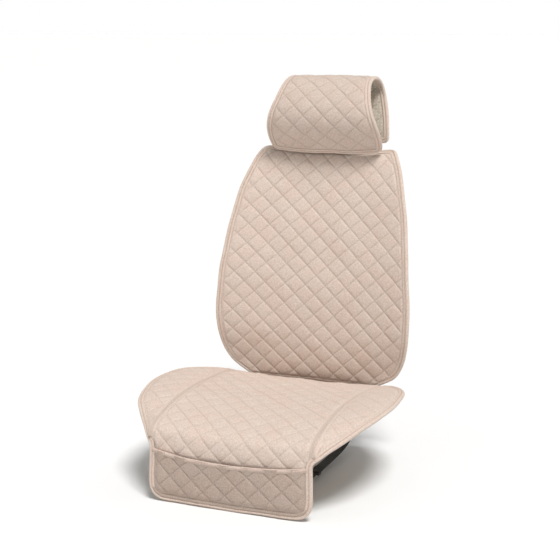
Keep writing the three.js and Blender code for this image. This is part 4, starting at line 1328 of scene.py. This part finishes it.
for node in ("hook_left", "hook_right", "slider_left", "slider_right", "buckle_socket",
             "buckle_plug"):
    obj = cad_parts[node]
    obj.data.materials.clear()
    obj.data.materials.append(PLASTIC)
    bevel = obj.modifiers.new("rounded_edges", "BEVEL")
    bevel.width = 0.0006
    bevel.segments = 3
    bevel.limit_method = "ANGLE"
    bevel.angle_limit = math.radians(35)

# ------------------------------------------------------------------ stage, light and camera
low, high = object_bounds()
bpy.ops.mesh.primitive_plane_add(size=400, location=(0, 0, low.z - 0.001))
floor = bpy.context.object
floor.name = "studio_floor"
floor_tree = Tree(bpy.data.materials.new("studio_floor"))
patches = floor_tree.noise(floor_tree.add("TexCoord", output="Object"), 3.0)
pale = floor_tree.blend(floor_tree.spread(patches, 0.3, 0.7), linear((237, 237, 237)),
                        linear((239, 239, 238)))
floor.data.materials.append(floor_tree.finish(pale, 0.9))

bpy.context.scene.world = bpy.data.worlds.new("studio")
sky = Tree(bpy.context.scene.world)
upward = sky.parts(sky.add("TexCoord", output="Generated"))[2]
background = sky.nodes["Background"].inputs
sky.feed(background["Strength"], sky.spread(upward, 0.05, 0.14, 1.0, 0.22))
sky.feed(background["Color"], (1.0, 1.0, 1.0, 1.0))


def in_scene(name, data, azimuth, elevation):
    """A lamp or camera that looks back from there. Azimuth 0 is the front, and 90 the right."""
    obj = bpy.data.objects.new(name, data)
    bpy.context.scene.collection.objects.link(obj)
    obj.rotation_euler = (math.radians(90 - elevation), 0, math.radians(azimuth))
    return obj


for name, azimuth, elevation, strength, softness in (
        ("key", 46, 62, 2.9, 20), ("front_fill", -45, 40, 0.45, 90), ("rear_fill", 160, 42, 0.4, 80)):
    sun = bpy.data.lights.new(name, "SUN")
    sun.energy = strength
    sun.angle = math.radians(softness)
    in_scene(name, sun, azimuth, elevation)

lens = bpy.data.cameras.new("camera")
lens.sensor_width = 36
lens.lens = FOCAL_LENGTH
camera = in_scene("camera", lens, CAMERA_AZIMUTH, CAMERA_ELEVATION)
turn, tilt = math.radians(CAMERA_AZIMUTH), math.radians(CAMERA_ELEVATION)
away = (math.sin(turn) * math.cos(tilt), -math.cos(turn) * math.cos(tilt), math.sin(tilt))
camera.location = [aim + CAMERA_DISTANCE * way for aim, way in zip(CAMERA_AIM, away)]
bpy.context.scene.camera = camera
bpy.context.scene.view_settings.view_transform = "Standard"
